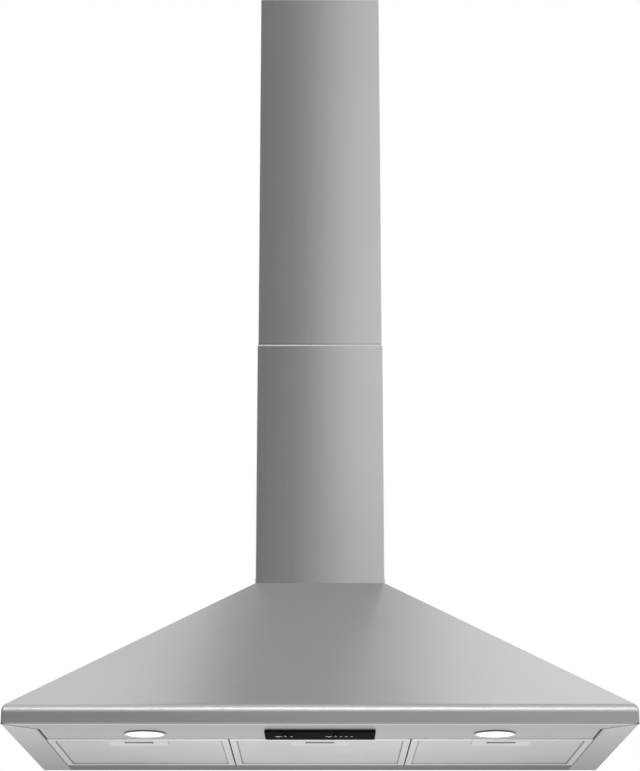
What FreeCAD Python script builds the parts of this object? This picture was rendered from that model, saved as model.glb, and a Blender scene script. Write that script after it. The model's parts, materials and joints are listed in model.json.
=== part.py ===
# Wall-mounted chimney range hood, modelled in millimetres.
# The frame: X runs to the right, Y from the front edge back to the wall, Z up.
# The origin lies on the wall plane, at the middle of the width, level with the underside.

import FreeCAD, Part
import math
import os
import re
import Sketcher
from FreeCAD import Placement, Rotation, Vector

# Driving sizes of each piece, each with a name of its own.
SIZES = {
    # canopy, folded from stainless sheet
    "hood_width": 900.0,
    "hood_depth": 500.0,
    "rim_height": 25.5,
    "rim_bend": 14.0,
    "canopy_top": 272.0,
    "sheet_wall": 1.0,
    "hip_bend": 3.0,
    "edge_bend": 1.6,
    "neck_margin": 0.5,
    "back_wall": 1.2,
    "back_fit": 0.1,
    "wall_hole_radius": 4.0,
    "wall_hole_spacing": 300.0,
    "wall_hole_rise": 170.0,
    # underside panels
    "rail_width": 47.0,
    "rail_flange": 12.0,
    "seam_flange": 16.0,
    "front_panel_depth": 145.0,
    "mitre_depth": 50.0,
    "mitre_gap": 0.5,
    "panel_gap": 2.0,
    "hem_width": 10.0,
    "corner_relief": 3.2,
    "rear_rail_depth": 72.0,
    "rear_flange": 20.0,
    "rear_gap": 0.3,
    # chimney covers and what holds them
    "cover_width": 204.4,
    "cover_depth": 180.0,
    "cover_wall": 0.8,
    "cover_bend": 2.0,
    "cover_return": 15.0,
    "cover_gap": 0.4,
    "joint_height": 670.0,
    "chimney_height": 1293.0,
    "cover_overlap": 60.0,
    "cover_break": 0.6,
    "bracket_wall": 1.5,
    "bracket_height": 40.0,
    "bracket_reach": 30.0,
    "bracket_gap": 0.3,
    "bracket_drop": 6.0,
    "bracket_hole_radius": 3.0,
    "bracket_hole_spacing": 100.0,
    "clip_length": 20.0,
    "clip_foot": 13.0,
    "clip_height": 20.0,
    "clip_wall": 1.5,
    "clip_back": 62.0,
    "cover_screw_radius": 2.0,
    "cover_head_radius": 3.5,
    "cover_head_height": 1.8,
    "cover_screw_length": 8.0,
    # duct collar with its two flaps
    "duct_radius": 75.0,
    "collar_wall": 2.0,
    "collar_height": 60.0,
    "collar_base": 3.0,
    "collar_base_radius": 80.0,
    "outlet_hole_radius": 71.0,
    "ear_reach": 92.0,
    "ear_half_depth": 45.0,
    "ear_screw_x": 85.0,
    "ear_screw_y": 35.0,
    "ledge_width": 4.0,
    "ledge_height": 1.5,
    "flap_pin_radius": 2.0,
    "flap_pin_rise": 22.0,
    "flap_wall": 1.2,
    "flap_rim_gap": 1.5,
    "knuckle_wall": 1.6,
    "knuckle_length": 18.0,
    "knuckle_gap": 0.4,
    "pin_fit": 0.05,
    "pin_inset": 0.5,
    # blower: scroll housing, impeller and motor
    "impeller_radius": 75.0,
    "impeller_half_width": 70.0,
    "blade_depth": 13.0,
    "blade_wall": 0.8,
    "blade_bow": 3.2,
    "blade_count": 36.0,
    "impeller_ring": 3.0,
    "impeller_disc": 2.0,
    "hub_radius": 12.0,
    "hub_length": 14.0,
    "shaft_radius": 4.0,
    "shaft_fit": 0.05,
    "tongue_gap": 8.0,
    "volute_step": 14.0,
    "housing_wall": 2.5,
    "housing_half_width": 78.0,
    "seam_rib": 8.0,
    "seam_wall": 3.0,
    "seam_screw_radius": 1.5,
    "seam_head_radius": 2.6,
    "seam_head_height": 2.0,
    "blower_drop": 132.0,
    "inlet_radius": 57.0,
    "inlet_lip": 5.0,
    "motor_radius": 42.0,
    "motor_length": 74.0,
    "motor_gap": 9.0,
    "motor_bell_step": 4.0,
    "motor_band": 38.0,
    "motor_bevel": 6.0,
    "spider_wall": 1.5,
    "spider_hub_radius": 30.0,
    "spider_arm_width": 14.0,
    "spider_mount_radius": 70.0,
    "rubber_radius": 6.0,
    # electrics
    "box_width": 120.0,
    "box_depth": 45.0,
    "box_height": 80.0,
    "box_wall": 2.0,
    "box_x": 150.0,
    "box_z": 60.0,
    "driver_width": 70.0,
    "driver_height": 24.0,
    "driver_depth": 22.0,
    "terminal_width": 60.0,
    "terminal_height": 16.0,
    "terminal_depth": 18.0,
    "capacitor_radius": 17.5,
    "capacitor_length": 60.0,
    "capacitor_x": 190.0,
    "capacitor_clip": 1.0,
    "capacitor_clip_width": 15.0,
    "capacitor_clip_reach": 35.0,
    "capacitor_clip_mouth": 17.5,
    "gland_x": 89.0,
    "gland_y": 25.0,
    "gland_thread_radius": 6.0,
    "gland_head_radius": 8.5,
    "gland_head_height": 6.0,
    "gland_dome_height": 11.0,
    "gland_bore_radius": 4.0,
    "gland_nut_height": 5.0,
    "gland_thread_length": 8.0,
    # lamps
    "lamp_x": 253.5,
    "lamp_front": 94.0,
    "lamp_ring_radius": 31.5,
    "lamp_ring_wall": 1.5,
    "lamp_glass_radius": 26.0,
    "lamp_glass_wall": 2.0,
    "lamp_can_radius": 28.0,
    "lamp_can_height": 22.0,
    "lamp_can_wall": 1.5,
    "lamp_fit": 0.3,
    "leaf_width": 7.0,
    "leaf_reach": 14.0,
    "leaf_rise": 16.5,
    "leaf_wall": 0.8,
    # controls
    "control_width": 160.0,
    "control_depth": 73.0,
    "control_front": 60.0,
    "control_proud": 3.6,
    "control_corner": 5.0,
    "control_edge": 0.8,
    "control_wall": 2.0,
    "control_box_width": 136.0,
    "control_box_depth": 50.0,
    "control_box_height": 15.0,
    "control_fit": 0.3,
    "slider_row": 78.0,
    "light_slider_x": 50.3,
    "light_travel": 8.8,
    "fan_slider_x": 22.6,
    "fan_travel": 23.4,
    "slider_width": 7.0,
    "slider_depth": 8.0,
    "slider_height": 2.4,
    "slider_gap": 0.2,
    "slider_edge": 0.8,
    "slider_mark_width": 1.2,
    "slider_mark_depth": 0.3,
    "slider_stem_width": 4.0,
    "slider_stem_depth": 2.4,
    "slider_foot_width": 9.0,
    "slider_foot_depth": 6.0,
    "slider_foot_height": 1.2,
    "board_wall": 1.6,
    "switch_depth": 8.0,
    # grease filters
    "filter_gap": 1.6,
    "filter_wall": 11.0,
    "filter_drop": 2.0,
    "filter_border": 10.0,
    "filter_corner": 4.0,
    "filter_edge": 1.8,
    "border_edge": 1.2,
    "mesh_wall": 6.0,
    "mesh_sink": 2.0,
    "hinge_gap": 2.0,
    "hook_length": 8.0,
    "hook_width": 24.0,
    "hook_wall": 1.5,
    "hook_spacing": 160.0,
    "hook_lift": 0.1,
    "handle_width": 86.0,
    "handle_depth": 48.0,
    "handle_wall": 1.2,
    "pull_width": 43.0,
    "pull_depth": 18.0,
    "pull_front": 8.4,
    "pull_edge": 0.6,
    "bolt_width": 18.0,
    "bolt_wall": 1.6,
    "bolt_lift": 0.2,
    "bolt_reach": 5.0,
    "bolt_fit": 0.2,
    "bolt_travel": 7.0,
    "bolt_bevel": 1.0,
    "bolt_step": 3.6,
    "tab_width": 36.0,
    "tab_wall": 2.0,
    "spring_wall": 0.5,
    "spring_width": 7.0,
    "spring_height": 3.0,
    "spring_folds": 6.0,
    # one overrun that every cut runs past the face it starts on
    "overrun": 5.0,
}

# Sizes worked out from the driving ones, as expressions.
DERIVED = {
    "hood_half": "hood_width/2",
    "cover_half": "cover_width/2",
    "neck_half": "cover_half + neck_margin",
    "neck_depth": "cover_depth + neck_margin",
    "slope_rise": "canopy_top - rim_height",
    "side_run": "hood_half - neck_half",
    "front_run": "hood_depth - neck_depth",
    "side_slope": "sqrt(side_run*side_run + slope_rise*slope_rise)",
    "front_slope": "sqrt(front_run*front_run + slope_rise*slope_rise)",
    "opening_half": "hood_half - rail_width",
    "duct_y": "neck_depth/2",
    "cover_inset": "(cover_wall + cover_gap)",
    "inner_half": "cover_half - cover_inset",
    "bracket_top": "chimney_height - bracket_drop",
    "upper_bottom": "joint_height - cover_overlap",
    "tongue_radius": "impeller_radius + tongue_gap",
    "blower_y": "duct_y + tongue_radius/2 + volute_step*3/2 - volute_step/2",
    "blower_z": "canopy_top - blower_drop",
    "collar_bore": "duct_radius - collar_wall",
    "knuckle_radius": "flap_pin_radius + pin_fit + knuckle_wall",
    "panel_rear": "hood_depth - front_panel_depth",
    "filter_pitch": "(hood_width - 2*rail_width)/3",
    "filter_width": "filter_pitch - filter_gap",
    "filter_front": "panel_rear - filter_gap",
    "filter_back": "rear_rail_depth + hinge_gap",
    "filter_depth": "filter_front - filter_back",
    "control_y": "hood_depth - control_front - control_depth/2",
    "slider_y": "hood_depth - slider_row",
    "lamp_y": "hood_depth - lamp_front",
    "bolt_z": "filter_drop + 2*sheet_wall + bolt_lift",
}

WORD = re.compile(r"[a-z_][a-z_0-9]*")
# How near two places are when they count as one.
SAME = 1e-6


def bound(text):
    """An expression with each named size led back to its cell in the sheet."""
    return WORD.sub(lambda word: named(word.group()), str(text))


def named(word):
    if word in SIZES:
        return "sizes." + word
    if word in DERIVED:
        return "(" + bound(DERIVED[word]) + ")"
    return word


doc = FreeCAD.newDocument("range_hood")
sheet = doc.addObject("Spreadsheet::Sheet", "sizes")
for row, (alias, value) in enumerate(SIZES.items(), 1):
    sheet.set(f"A{row}", alias)
    sheet.set(f"B{row}", str(value))
    sheet.setAlias(f"B{row}", alias)
doc.recompute()

# The finished sub-parts, in the order in which they are made.
NODES = []


def mm(text):
    """The value of an expression, in millimetres."""
    return float(sheet.evalExpression(bound(text)))


def node(item, label):
    """Give a finished sub-part its name and put it on the list."""
    item.Label = label
    NODES.append(item)
    return item


def place(item, x="0", y="0", z="0"):
    """Bind the place of a piece to the sheet."""
    for axis, value in (("x", x), ("y", y), ("z", z)):
        item.setExpression(f"Placement.Base.{axis}", bound(value))
    return item


# Sketches and features of a body

def new_body(name):
    return doc.addObject("PartDesign::Body", name)


def new_sketch(body, role, start):
    """A sketch on one of the body's own planes; XZ sketches lie in front of the wall by start."""
    sketch = body.newObject("Sketcher::SketchObject", body.Name + "_sketch")
    plane = [item for item in body.Origin.OriginFeatures if item.Role == role][0]
    sketch.AttachmentSupport = [(plane, "")]
    sketch.MapMode = "FlatFace"
    sketch.setExpression("AttachmentOffset.Base.z", bound(start))
    return sketch


def pin_point(sketch, geometry, end, x, y):
    """Hold one end of a line or arc at a place worked out from the sheet."""
    for kind, text, axis in (("DistanceX", x, -2), ("DistanceY", y, -1)):
        if text == "0":
            sketch.addConstraint(Sketcher.Constraint("PointOnObject", geometry, end, axis))
        else:
            index = sketch.addConstraint(Sketcher.Constraint(kind, geometry, end, mm(text)))
            sketch.setExpression(f"Constraints[{index}]", bound(text))


def outline(sketch, points):
    """A closed outline; a point may add a radius: its edge to the next point is then an arc.

    A positive radius bulges to the right of the way along the edge, a negative one to the left.
    """
    places = [Vector(mm(point[0]), mm(point[1]), 0) for point in points]
    edges = []
    for index, point in enumerate(points):
        start = places[index]
        end = places[(index + 1) % len(points)]
        if len(point) == 2:
            edges.append(sketch.addGeometry(Part.LineSegment(start, end), False))
            continue
        radius = abs(mm(point[2]))
        side = math.copysign(1, mm(point[2]))
        chord = end - start
        across = Vector(chord.y, -chord.x, 0).normalize() * side
        rise = radius - math.sqrt(max(radius**2 - chord.Length**2 / 4, 0))
        middle = (start + end) * 0.5 + across * rise
        edges.append(sketch.addGeometry(Part.Arc(start, middle, end), False))
    arcs = [len(point) == 3 for point in points]
    forward = [not arc or mm(point[2]) > 0 for arc, point in zip(arcs, points)]
    for index, edge in enumerate(edges):
        following = (index + 1) % len(edges)
        finish = 2 if forward[index] else 1
        begin = 1 if forward[following] else 2
        sketch.addConstraint(Sketcher.Constraint("Coincident", edge, finish, edges[following], begin))
    for index, edge in enumerate(edges):
        pin_point(sketch, edge, 1 if forward[index] else 2, *points[index][:2])
        if arcs[index]:
            text = points[index][2].lstrip("-")
            held = sketch.addConstraint(Sketcher.Constraint("Radius", edge, mm(text)))
            sketch.setExpression(f"Constraints[{held}]", bound(text))
    return sketch


def ring(sketch, x, y, radius):
    """A circle held at a place worked out from the sheet."""
    circle = Part.Circle(Vector(mm(x), mm(y), 0), Vector(0, 0, 1), mm(radius))
    edge = sketch.addGeometry(circle, False)
    pin_point(sketch, edge, 3, x, y)
    index = sketch.addConstraint(Sketcher.Constraint("Radius", edge, mm(radius)))
    sketch.setExpression(f"Constraints[{index}]", bound(radius))
    return sketch


def rectangle(x_low, x_high, y_low, y_high):
    return [(x_low, y_low), (x_high, y_low), (x_high, y_high), (x_low, y_high)]


def pad(body, role, start, length, *shapes):
    """Extrude one or more outlines or circles from start, along the plane's normal."""
    sketch = new_sketch(body, role, start)
    for shape in shapes:
        if isinstance(shape, list):
            outline(sketch, shape)
        else:
            ring(sketch, *shape)
    feature = body.newObject("PartDesign::Pad", body.Name + "_pad")
    feature.Profile = sketch
    feature.setExpression("Length", bound(length))
    doc.recompute()
    return feature


def pocket(body, role, start, length, *shapes):
    """Cut outlines or circles away, from start and along the plane's normal."""
    before = body.Shape.Volume
    sketch = new_sketch(body, role, start)
    for shape in shapes:
        if isinstance(shape, list):
            outline(sketch, shape)
        else:
            ring(sketch, *shape)
    feature = body.newObject("PartDesign::Pocket", body.Name + "_pocket")
    feature.Profile = sketch
    feature.Reversed = True
    feature.setExpression("Length", bound(length))
    doc.recompute()
    if body.Shape.Volume >= before:
        raise ValueError(f"a pocket of {body.Name} cuts nothing")
    return feature


def revolve(body, points):
    """Turn an outline of radius and height about the body's own upright axis."""
    sketch = new_sketch(body, "XZ_Plane", "0")
    outline(sketch, points)
    feature = body.newObject("PartDesign::Revolution", body.Name + "_turn")
    feature.Profile = sketch
    feature.ReferenceAxis = (sketch, ["V_Axis"])
    feature.Angle = 360
    doc.recompute()
    return feature


def edges_of(body, chosen):
    """The feature at the body's tip, and the edges that a test on their boxes picks."""
    base = body.Tip
    edges = enumerate(base.Shape.Edges, 1)
    names = [f"Edge{index}" for index, edge in edges if chosen(edge.BoundBox)]
    if not names:
        raise ValueError(f"no edge of {body.Name} is picked")
    return base, names


def rounded(body, radius, chosen):
    """Round the chosen edges of the body."""
    picked = edges_of(body, chosen)
    feature = body.newObject("PartDesign::Fillet", body.Name + "_round")
    feature.Base = picked
    feature.setExpression("Radius", bound(radius))
    doc.recompute()
    return feature


def bevelled(body, size, chosen):
    """Bevel the chosen edges of the body."""
    picked = edges_of(body, chosen)
    feature = body.newObject("PartDesign::Chamfer", body.Name + "_bevel")
    feature.Base = picked
    feature.setExpression("Size", bound(size))
    doc.recompute()
    return feature


def same(one, other):
    return abs(one - other) < SAME


def upright(box):
    return box.ZLength > SAME and box.XLength < SAME and box.YLength < SAME


def on_side(side, low, high):
    """A pair of places, the lower one first, on one side of the middle."""
    return (low, high) if side > 0 else (f"-({high})", f"-({low})")


# Part primitives and booleans

def box(name, x, y, z):
    """A box between pairs of coordinates, each pair a low and a high one."""
    item = doc.addObject("Part::Box", name)
    for size, (low, high) in (("Length", x), ("Width", y), ("Height", z)):
        item.setExpression(size, bound(f"({high}) - ({low})"))
    return place(item, x[0], y[0], z[0])


TURNS = {"x": Rotation(Vector(0, 1, 0), 90), "y": Rotation(Vector(1, 0, 0), -90), "z": Rotation()}


def cylinder(name, way, x, y, z, radius, length):
    """A cylinder from a point along one of the axes."""
    item = doc.addObject("Part::Cylinder", name)
    item.setExpression("Radius", bound(radius))
    item.setExpression("Height", bound(length))
    item.Placement = Placement(Vector(), TURNS[way])
    return place(item, x, y, z)


def boolean(kind, name, items):
    item = doc.addObject("Part::" + kind, name)
    if kind == "Cut":
        item.Base = items[0]
        item.Tool = items[1] if len(items) == 2 else boolean("MultiFuse", name + "_tools", items[1:])
    else:
        item.Shapes = items
    doc.recompute()
    return item


def screws(label, way, spots, head, shank):
    """Alike screws as one group: a head, and a shank that points back along the way given."""
    head_radius, head_height = head
    shank_radius, shank_length = shank
    solids = []
    for index, (x, y, z, side) in enumerate(spots):
        spot = [x, y, z]
        far = list(spot)
        near = list(spot)
        axis = "xyz".index(way)
        if side < 0:
            far[axis] = f"{spot[axis]} - ({head_height})"
        else:
            near[axis] = f"{spot[axis]} - ({shank_length})"
        name = f"{label}_{index}"
        top = cylinder(name + "_head", way, *far, head_radius, head_height)
        stem = cylinder(name + "_shank", way, *near, shank_radius, shank_length)
        solids.append(boolean("MultiFuse", name, [top, stem]))
    return node(group(label, solids), label)


def group(name, items):
    """Separate solids of one kind kept together."""
    item = doc.addObject("Part::Compound", name)
    item.Links = items
    doc.recompute()
    return item


# Canopy: one folded shell, a back panel, and the panels of its underside

def canopy_slope(way, half, top_half, run, slope, wall, bottom):
    """One side of the canopy's profile, from its lower edge to its top, a wall inside the skin."""
    bend = f"rim_bend*{run}/({slope} + slope_rise)"
    return [
        (f"{way}*({half} - {wall})", bottom),
        (f"{way}*({half} - {wall})", f"rim_height - {bend}",
         f"{'' if way > 0 else '-'}(rim_bend - {wall})"),
        (f"{way}*({half} - {bend}*{run}/{slope} - {wall}*slope_rise/{slope})",
         f"rim_height + {bend}*slope_rise/{slope} - {wall}*{run}/{slope}"),
        (f"{way}*({top_half} - {wall}*({slope} - {run})/slope_rise)", f"canopy_top - {wall}"),
    ]


def canopy_form(name, wall, bottom):
    """The canopy's form, a given wall inside its outer skin."""
    body = new_body(name)
    right = canopy_slope(1, "hood_half", "neck_half", "side_run", "side_slope", wall, bottom)
    left = canopy_slope(-1, "hood_half", "neck_half", "side_run", "side_slope", wall, bottom)
    left[1:3] = [left[1][:2], left[2] + (f"(rim_bend - {wall})",)]
    pad(body, "XZ_Plane", "0", "hood_depth", right + left[::-1])
    front = canopy_slope(-1, "hood_depth", "neck_depth", "front_run", "front_slope", wall, bottom)
    high = "canopy_top + overrun"
    low = f"{bottom} - overrun"
    far = "-hood_depth - overrun"
    waste = [(front[0][0], low)] + front[1:] + [(front[3][0], high), (far, high), (far, low)]
    pocket(body, "YZ_Plane", "-hood_half - overrun", "hood_width + 2*overrun", waste)
    near = mm("sheet_wall")
    rounded(body, f"hip_bend - {wall}",
            lambda b: b.YMax < -near and b.ZLength > near and (b.XLength > SAME or b.YLength < SAME))
    return body


def canopy_shell():
    outer = canopy_form("canopy_outer_form", "0", "edge_bend")
    inner = canopy_form("canopy_inner_form", "sheet_wall", "edge_bend")
    spots = [("0", "-duct_y", "outlet_hole_radius"),
             ("gland_x", "-gland_y", "gland_thread_radius + shaft_fit")]
    spots += [(f"{across}*ear_screw_x", f"-duct_y + {along}*ear_screw_y", "cover_screw_radius + shaft_fit")
              for across in (-1, 1) for along in (-1, 1)]
    holes = [cylinder(f"canopy_hole_{index}", "z", x, y, "canopy_top - sheet_wall - overrun", radius,
                      "sheet_wall + 2*overrun")
             for index, (x, y, radius) in enumerate(spots)]
    return node(boolean("Cut", "canopy_shell", [outer, inner] + holes), "canopy_shell")


def canopy_back_panel():
    form = canopy_form("canopy_back_form", "(sheet_wall + back_fit)", "0")
    slab = box("canopy_back_slab", ("-hood_half", "hood_half"), ("-back_wall", "0"),
               ("0", "canopy_top"))
    panel = doc.addObject("Part::MultiCommon", "canopy_back_sheet")
    panel.Shapes = [form, slab]
    doc.recompute()
    holes = [cylinder(f"wall_hole_{side}", "y", f"{side}*wall_hole_spacing/2", "-back_wall - overrun",
                      "wall_hole_rise", "wall_hole_radius", "back_wall + 2*overrun")
             for side in (-1, 1)]
    return node(boolean("Cut", "canopy_back_panel", [panel] + holes), "canopy_back_panel")


def front_panel():
    """Folded light and control panel: a front fold behind the rim, and a hemmed rear edge."""
    body = new_body("front_panel_body")
    front = "-hood_depth"
    rear = "-panel_rear"
    profile = [
        (f"{front} + edge_bend", "0"),
        (f"{rear} - sheet_wall", "0", "sheet_wall"),
        (rear, "sheet_wall", "sheet_wall"),
        (f"{rear} - sheet_wall", "2*sheet_wall"),
        (f"{rear} - hem_width", "2*sheet_wall"),
        (f"{rear} - hem_width", "sheet_wall"),
        (f"{front} + 2*sheet_wall", "sheet_wall"),
        (f"{front} + 2*sheet_wall", "edge_bend + seam_flange"),
        (f"{front} + sheet_wall", "edge_bend + seam_flange"),
        (f"{front} + sheet_wall", "edge_bend"),
        (front, "edge_bend", "edge_bend"),
    ]
    pad(body, "YZ_Plane", "-hood_half", "hood_width", profile)
    height = "edge_bend + seam_flange + 2*overrun"
    for side in (-1, 1):
        waste = [
            (f"{side}*(hood_half + overrun)", f"{front} - overrun*mitre_depth/rail_width"),
            (f"{side}*(opening_half - panel_gap)", f"{front} + mitre_depth + mitre_gap/2"),
            (f"{side}*(opening_half - panel_gap)", f"{rear} + overrun"),
            (f"{side}*(hood_half + overrun)", f"{rear} + overrun"),
        ]
        pocket(body, "XY_Plane", "-overrun", height, waste)
        pocket(body, "XY_Plane", "edge_bend", "seam_flange + overrun",
               rectangle(*on_side(side, "hood_half - corner_relief", "hood_half + overrun"),
                         f"{front} - overrun", f"{front} + corner_relief"))
    control = rectangle("-(control_box_width/2 + control_fit)", "control_box_width/2 + control_fit",
                        "-(control_y + control_box_depth/2 + control_fit)",
                        "-(control_y - control_box_depth/2 - control_fit)")
    pocket(body, "XY_Plane", "-overrun", "sheet_wall + 2*overrun", control,
           ("-lamp_x", "-lamp_y", "lamp_can_radius + lamp_fit"),
           ("lamp_x", "-lamp_y", "lamp_can_radius + lamp_fit"))
    return node(body, "front_panel")


def side_rail(label, side):
    """Folded side rail: an outer fold behind the rim, and an upturned inner edge."""
    body = new_body(label + "_body")
    profile = [
        (f"{side}*(hood_half - edge_bend)", "0", f"{'' if side > 0 else '-'}edge_bend"),
        (f"{side}*hood_half", "edge_bend"),
        (f"{side}*(hood_half - sheet_wall)", "edge_bend"),
        (f"{side}*(hood_half - sheet_wall)", "edge_bend + seam_flange"),
        (f"{side}*(hood_half - 2*sheet_wall)", "edge_bend + seam_flange"),
        (f"{side}*(hood_half - 2*sheet_wall)", "sheet_wall"),
        (f"{side}*(opening_half + sheet_wall)", "sheet_wall"),
        (f"{side}*(opening_half + sheet_wall)", "rail_flange"),
        (f"{side}*opening_half", "rail_flange"),
        (f"{side}*opening_half", "0"),
    ]
    pad(body, "XZ_Plane", "back_wall", "hood_depth - back_wall", profile)
    outer = f"{side}*(hood_half + overrun)"
    inner = f"{side}*(opening_half - overrun)"
    waste = [
        (outer, "-hood_depth - overrun*mitre_depth/rail_width + mitre_gap/2"),
        (inner, "-hood_depth + mitre_depth*(1 + overrun/rail_width) + mitre_gap/2"),
        (inner, "-hood_depth - 3*overrun"),
        (outer, "-hood_depth - 3*overrun"),
    ]
    pocket(body, "XY_Plane", "-overrun", "edge_bend + seam_flange + 2*overrun", waste)
    pocket(body, "XY_Plane", "edge_bend", "seam_flange + overrun",
           rectangle(*on_side(side, "hood_half - corner_relief", "hood_half + overrun"),
                     "-hood_depth - overrun", "-hood_depth + corner_relief"))
    return node(body, label)


def rear_rail():
    """Rear rail: its hemmed front edge is the ledge that the filters hook on, its back is folded up."""
    body = new_body("rear_rail_body")
    front = "-rear_rail_depth"
    profile = [
        (f"{front} + sheet_wall", "0"),
        ("-back_wall", "0"),
        ("-back_wall", "rear_flange"),
        ("-back_wall - sheet_wall", "rear_flange"),
        ("-back_wall - sheet_wall", "sheet_wall"),
        (f"{front} + hem_width", "sheet_wall"),
        (f"{front} + hem_width", "2*sheet_wall"),
        (f"{front} + sheet_wall", "2*sheet_wall", "sheet_wall"),
        (front, "sheet_wall", "sheet_wall"),
    ]
    pad(body, "YZ_Plane", "-(opening_half - rear_gap)", "2*(opening_half - rear_gap)", profile)
    return node(body, "rear_rail")


# Chimney covers, their clips, bracket and screws

def cover(label, inset, bottom, top):
    """A folded cover, open to the wall between two return flanges, an inset inside the lower one."""
    body = new_body(label + "_body")
    half = f"(cover_half - {inset})"
    front = f"-(cover_depth - {inset})"
    height = f"{top} - {bottom}"
    pad(body, "XY_Plane", bottom, height, rectangle(f"-{half}", half, front, f"-{inset}"))
    rounded(body, "cover_bend", lambda b: upright(b) and b.YMax < -mm("cover_depth/2"))
    inside = rectangle(f"-({half} - cover_wall)", f"{half} - cover_wall",
                       f"{front} + cover_wall", f"-{inset} - cover_wall")
    mouth = rectangle(f"-({half} - cover_return)", f"{half} - cover_return",
                      f"-{inset} - cover_wall - overrun", "overrun")
    pocket(body, "XY_Plane", f"{bottom} - overrun", f"{height} + 2*overrun", inside)
    pocket(body, "XY_Plane", f"{bottom} - overrun", f"{height} + 2*overrun", mouth)
    level = mm(f"{front} + cover_wall")
    rounded(body, "cover_bend - cover_wall", lambda b: upright(b) and same(b.YMin, level))
    return body


def lower_chimney_cover():
    body = cover("lower_chimney_cover", "0", "canopy_top", "joint_height")
    top = mm("joint_height")
    outside = (mm("-cover_half"), mm("cover_half"), mm("-cover_depth"))
    bevelled(body, "cover_break",
             lambda b: same(b.ZMin, top) and b.YMin < outside[2]/2
             and (same(b.XMin, outside[0]) or same(b.XMax, outside[1]) or same(b.YMin, outside[2])))
    pocket(body, "YZ_Plane", "-cover_half - overrun", "cover_width + 2*overrun",
           ("-(duct_y + clip_back)", "canopy_top + clip_height/2", "cover_screw_radius + shaft_fit"))
    return node(body, "lower_chimney_cover")


def upper_chimney_cover():
    body = cover("upper_chimney_cover", "cover_inset", "upper_bottom", "chimney_height")
    pocket(body, "YZ_Plane", "-cover_half - overrun", "cover_width + 2*overrun",
           ("-bracket_reach/2", "bracket_top - bracket_height/2", "cover_screw_radius + shaft_fit"))
    return node(body, "upper_chimney_cover")


def chimney_wall_bracket():
    """Folded strap on the wall; its two arms have notches, open below, for the cover's screws."""
    body = new_body("chimney_wall_bracket_body")
    half = "inner_half - cover_wall - bracket_gap"
    step = "inner_half - cover_return - bracket_gap"
    flange = "cover_inset + cover_wall + bracket_gap"
    strap = [
        (f"-({half})", "-bracket_reach"),
        (f"-({half} - bracket_wall)", "-bracket_reach"),
        (f"-({half} - bracket_wall)", f"-({flange} + bracket_wall)"),
        (f"-({step} - bracket_wall)", f"-({flange} + bracket_wall)"),
        (f"-({step} - bracket_wall)", "-bracket_wall"),
        (f"{step} - bracket_wall", "-bracket_wall"),
        (f"{step} - bracket_wall", f"-({flange} + bracket_wall)"),
        (f"{half} - bracket_wall", f"-({flange} + bracket_wall)"),
        (f"{half} - bracket_wall", "-bracket_reach"),
        (half, "-bracket_reach"),
        (half, f"-({flange})"),
        (step, f"-({flange})"),
        (step, "0"),
        (f"-({step})", "0"),
        (f"-({step})", f"-({flange})"),
        (f"-({half})", f"-({flange})"),
    ]
    top = "bracket_top"
    pad(body, "XY_Plane", f"{top} - bracket_height", "bracket_height", strap)
    notch = rectangle("-(bracket_reach/2 + cover_screw_radius + bracket_gap)",
                      "-(bracket_reach/2 - cover_screw_radius - bracket_gap)",
                      f"{top} - bracket_height - overrun",
                      f"{top} - bracket_height/2 + cover_screw_radius + bracket_gap")
    pocket(body, "YZ_Plane", "-cover_half", "cover_width", notch)
    pocket(body, "XZ_Plane", "-overrun", "bracket_wall + 2*overrun",
           ("-bracket_hole_spacing/2", f"{top} - bracket_height/2", "bracket_hole_radius"),
           ("bracket_hole_spacing/2", f"{top} - bracket_height/2", "bracket_hole_radius"))
    return node(body, "chimney_wall_bracket")


def cover_clips():
    """Two angles on the canopy's top that hold the lower cover by its sides."""
    clips = []
    for side in (-1, 1):
        body = new_body("cover_clip_" + ("left" if side < 0 else "right"))
        outer = f"{side}*(cover_half - cover_wall)"
        profile = [
            (outer, "canopy_top"),
            (outer, "canopy_top + clip_height"),
            (f"{outer} - {side}*clip_wall", "canopy_top + clip_height"),
            (f"{outer} - {side}*clip_wall", "canopy_top + clip_wall"),
            (f"{outer} - {side}*clip_foot", "canopy_top + clip_wall"),
            (f"{outer} - {side}*clip_foot", "canopy_top"),
        ]
        pad(body, "XZ_Plane", "duct_y + clip_back - clip_length/2", "clip_length", profile)
        pocket(body, "YZ_Plane", "-cover_half", "cover_width",
               ("-(duct_y + clip_back)", "canopy_top + clip_height/2", "cover_screw_radius + shaft_fit"))
        clips.append(body)
    return node(group("lower_cover_clips", clips), "lower_cover_clips")


def chimney_screws():
    head = ("cover_head_radius", "cover_head_height")
    shank = ("cover_screw_radius", "cover_screw_length")
    low = [(f"{side}*cover_half", "-(duct_y + clip_back)", "canopy_top + clip_height/2", side)
           for side in (-1, 1)]
    screws("lower_cover_screws", "x", low, head, shank)
    high = [(f"{side}*(inner_half)", "-bracket_reach/2", "bracket_top - bracket_height/2",
             side) for side in (-1, 1)]
    screws("upper_cover_screws", "x", high, head, shank)


# Duct collar on the canopy's top, with two flaps on one pin

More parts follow.
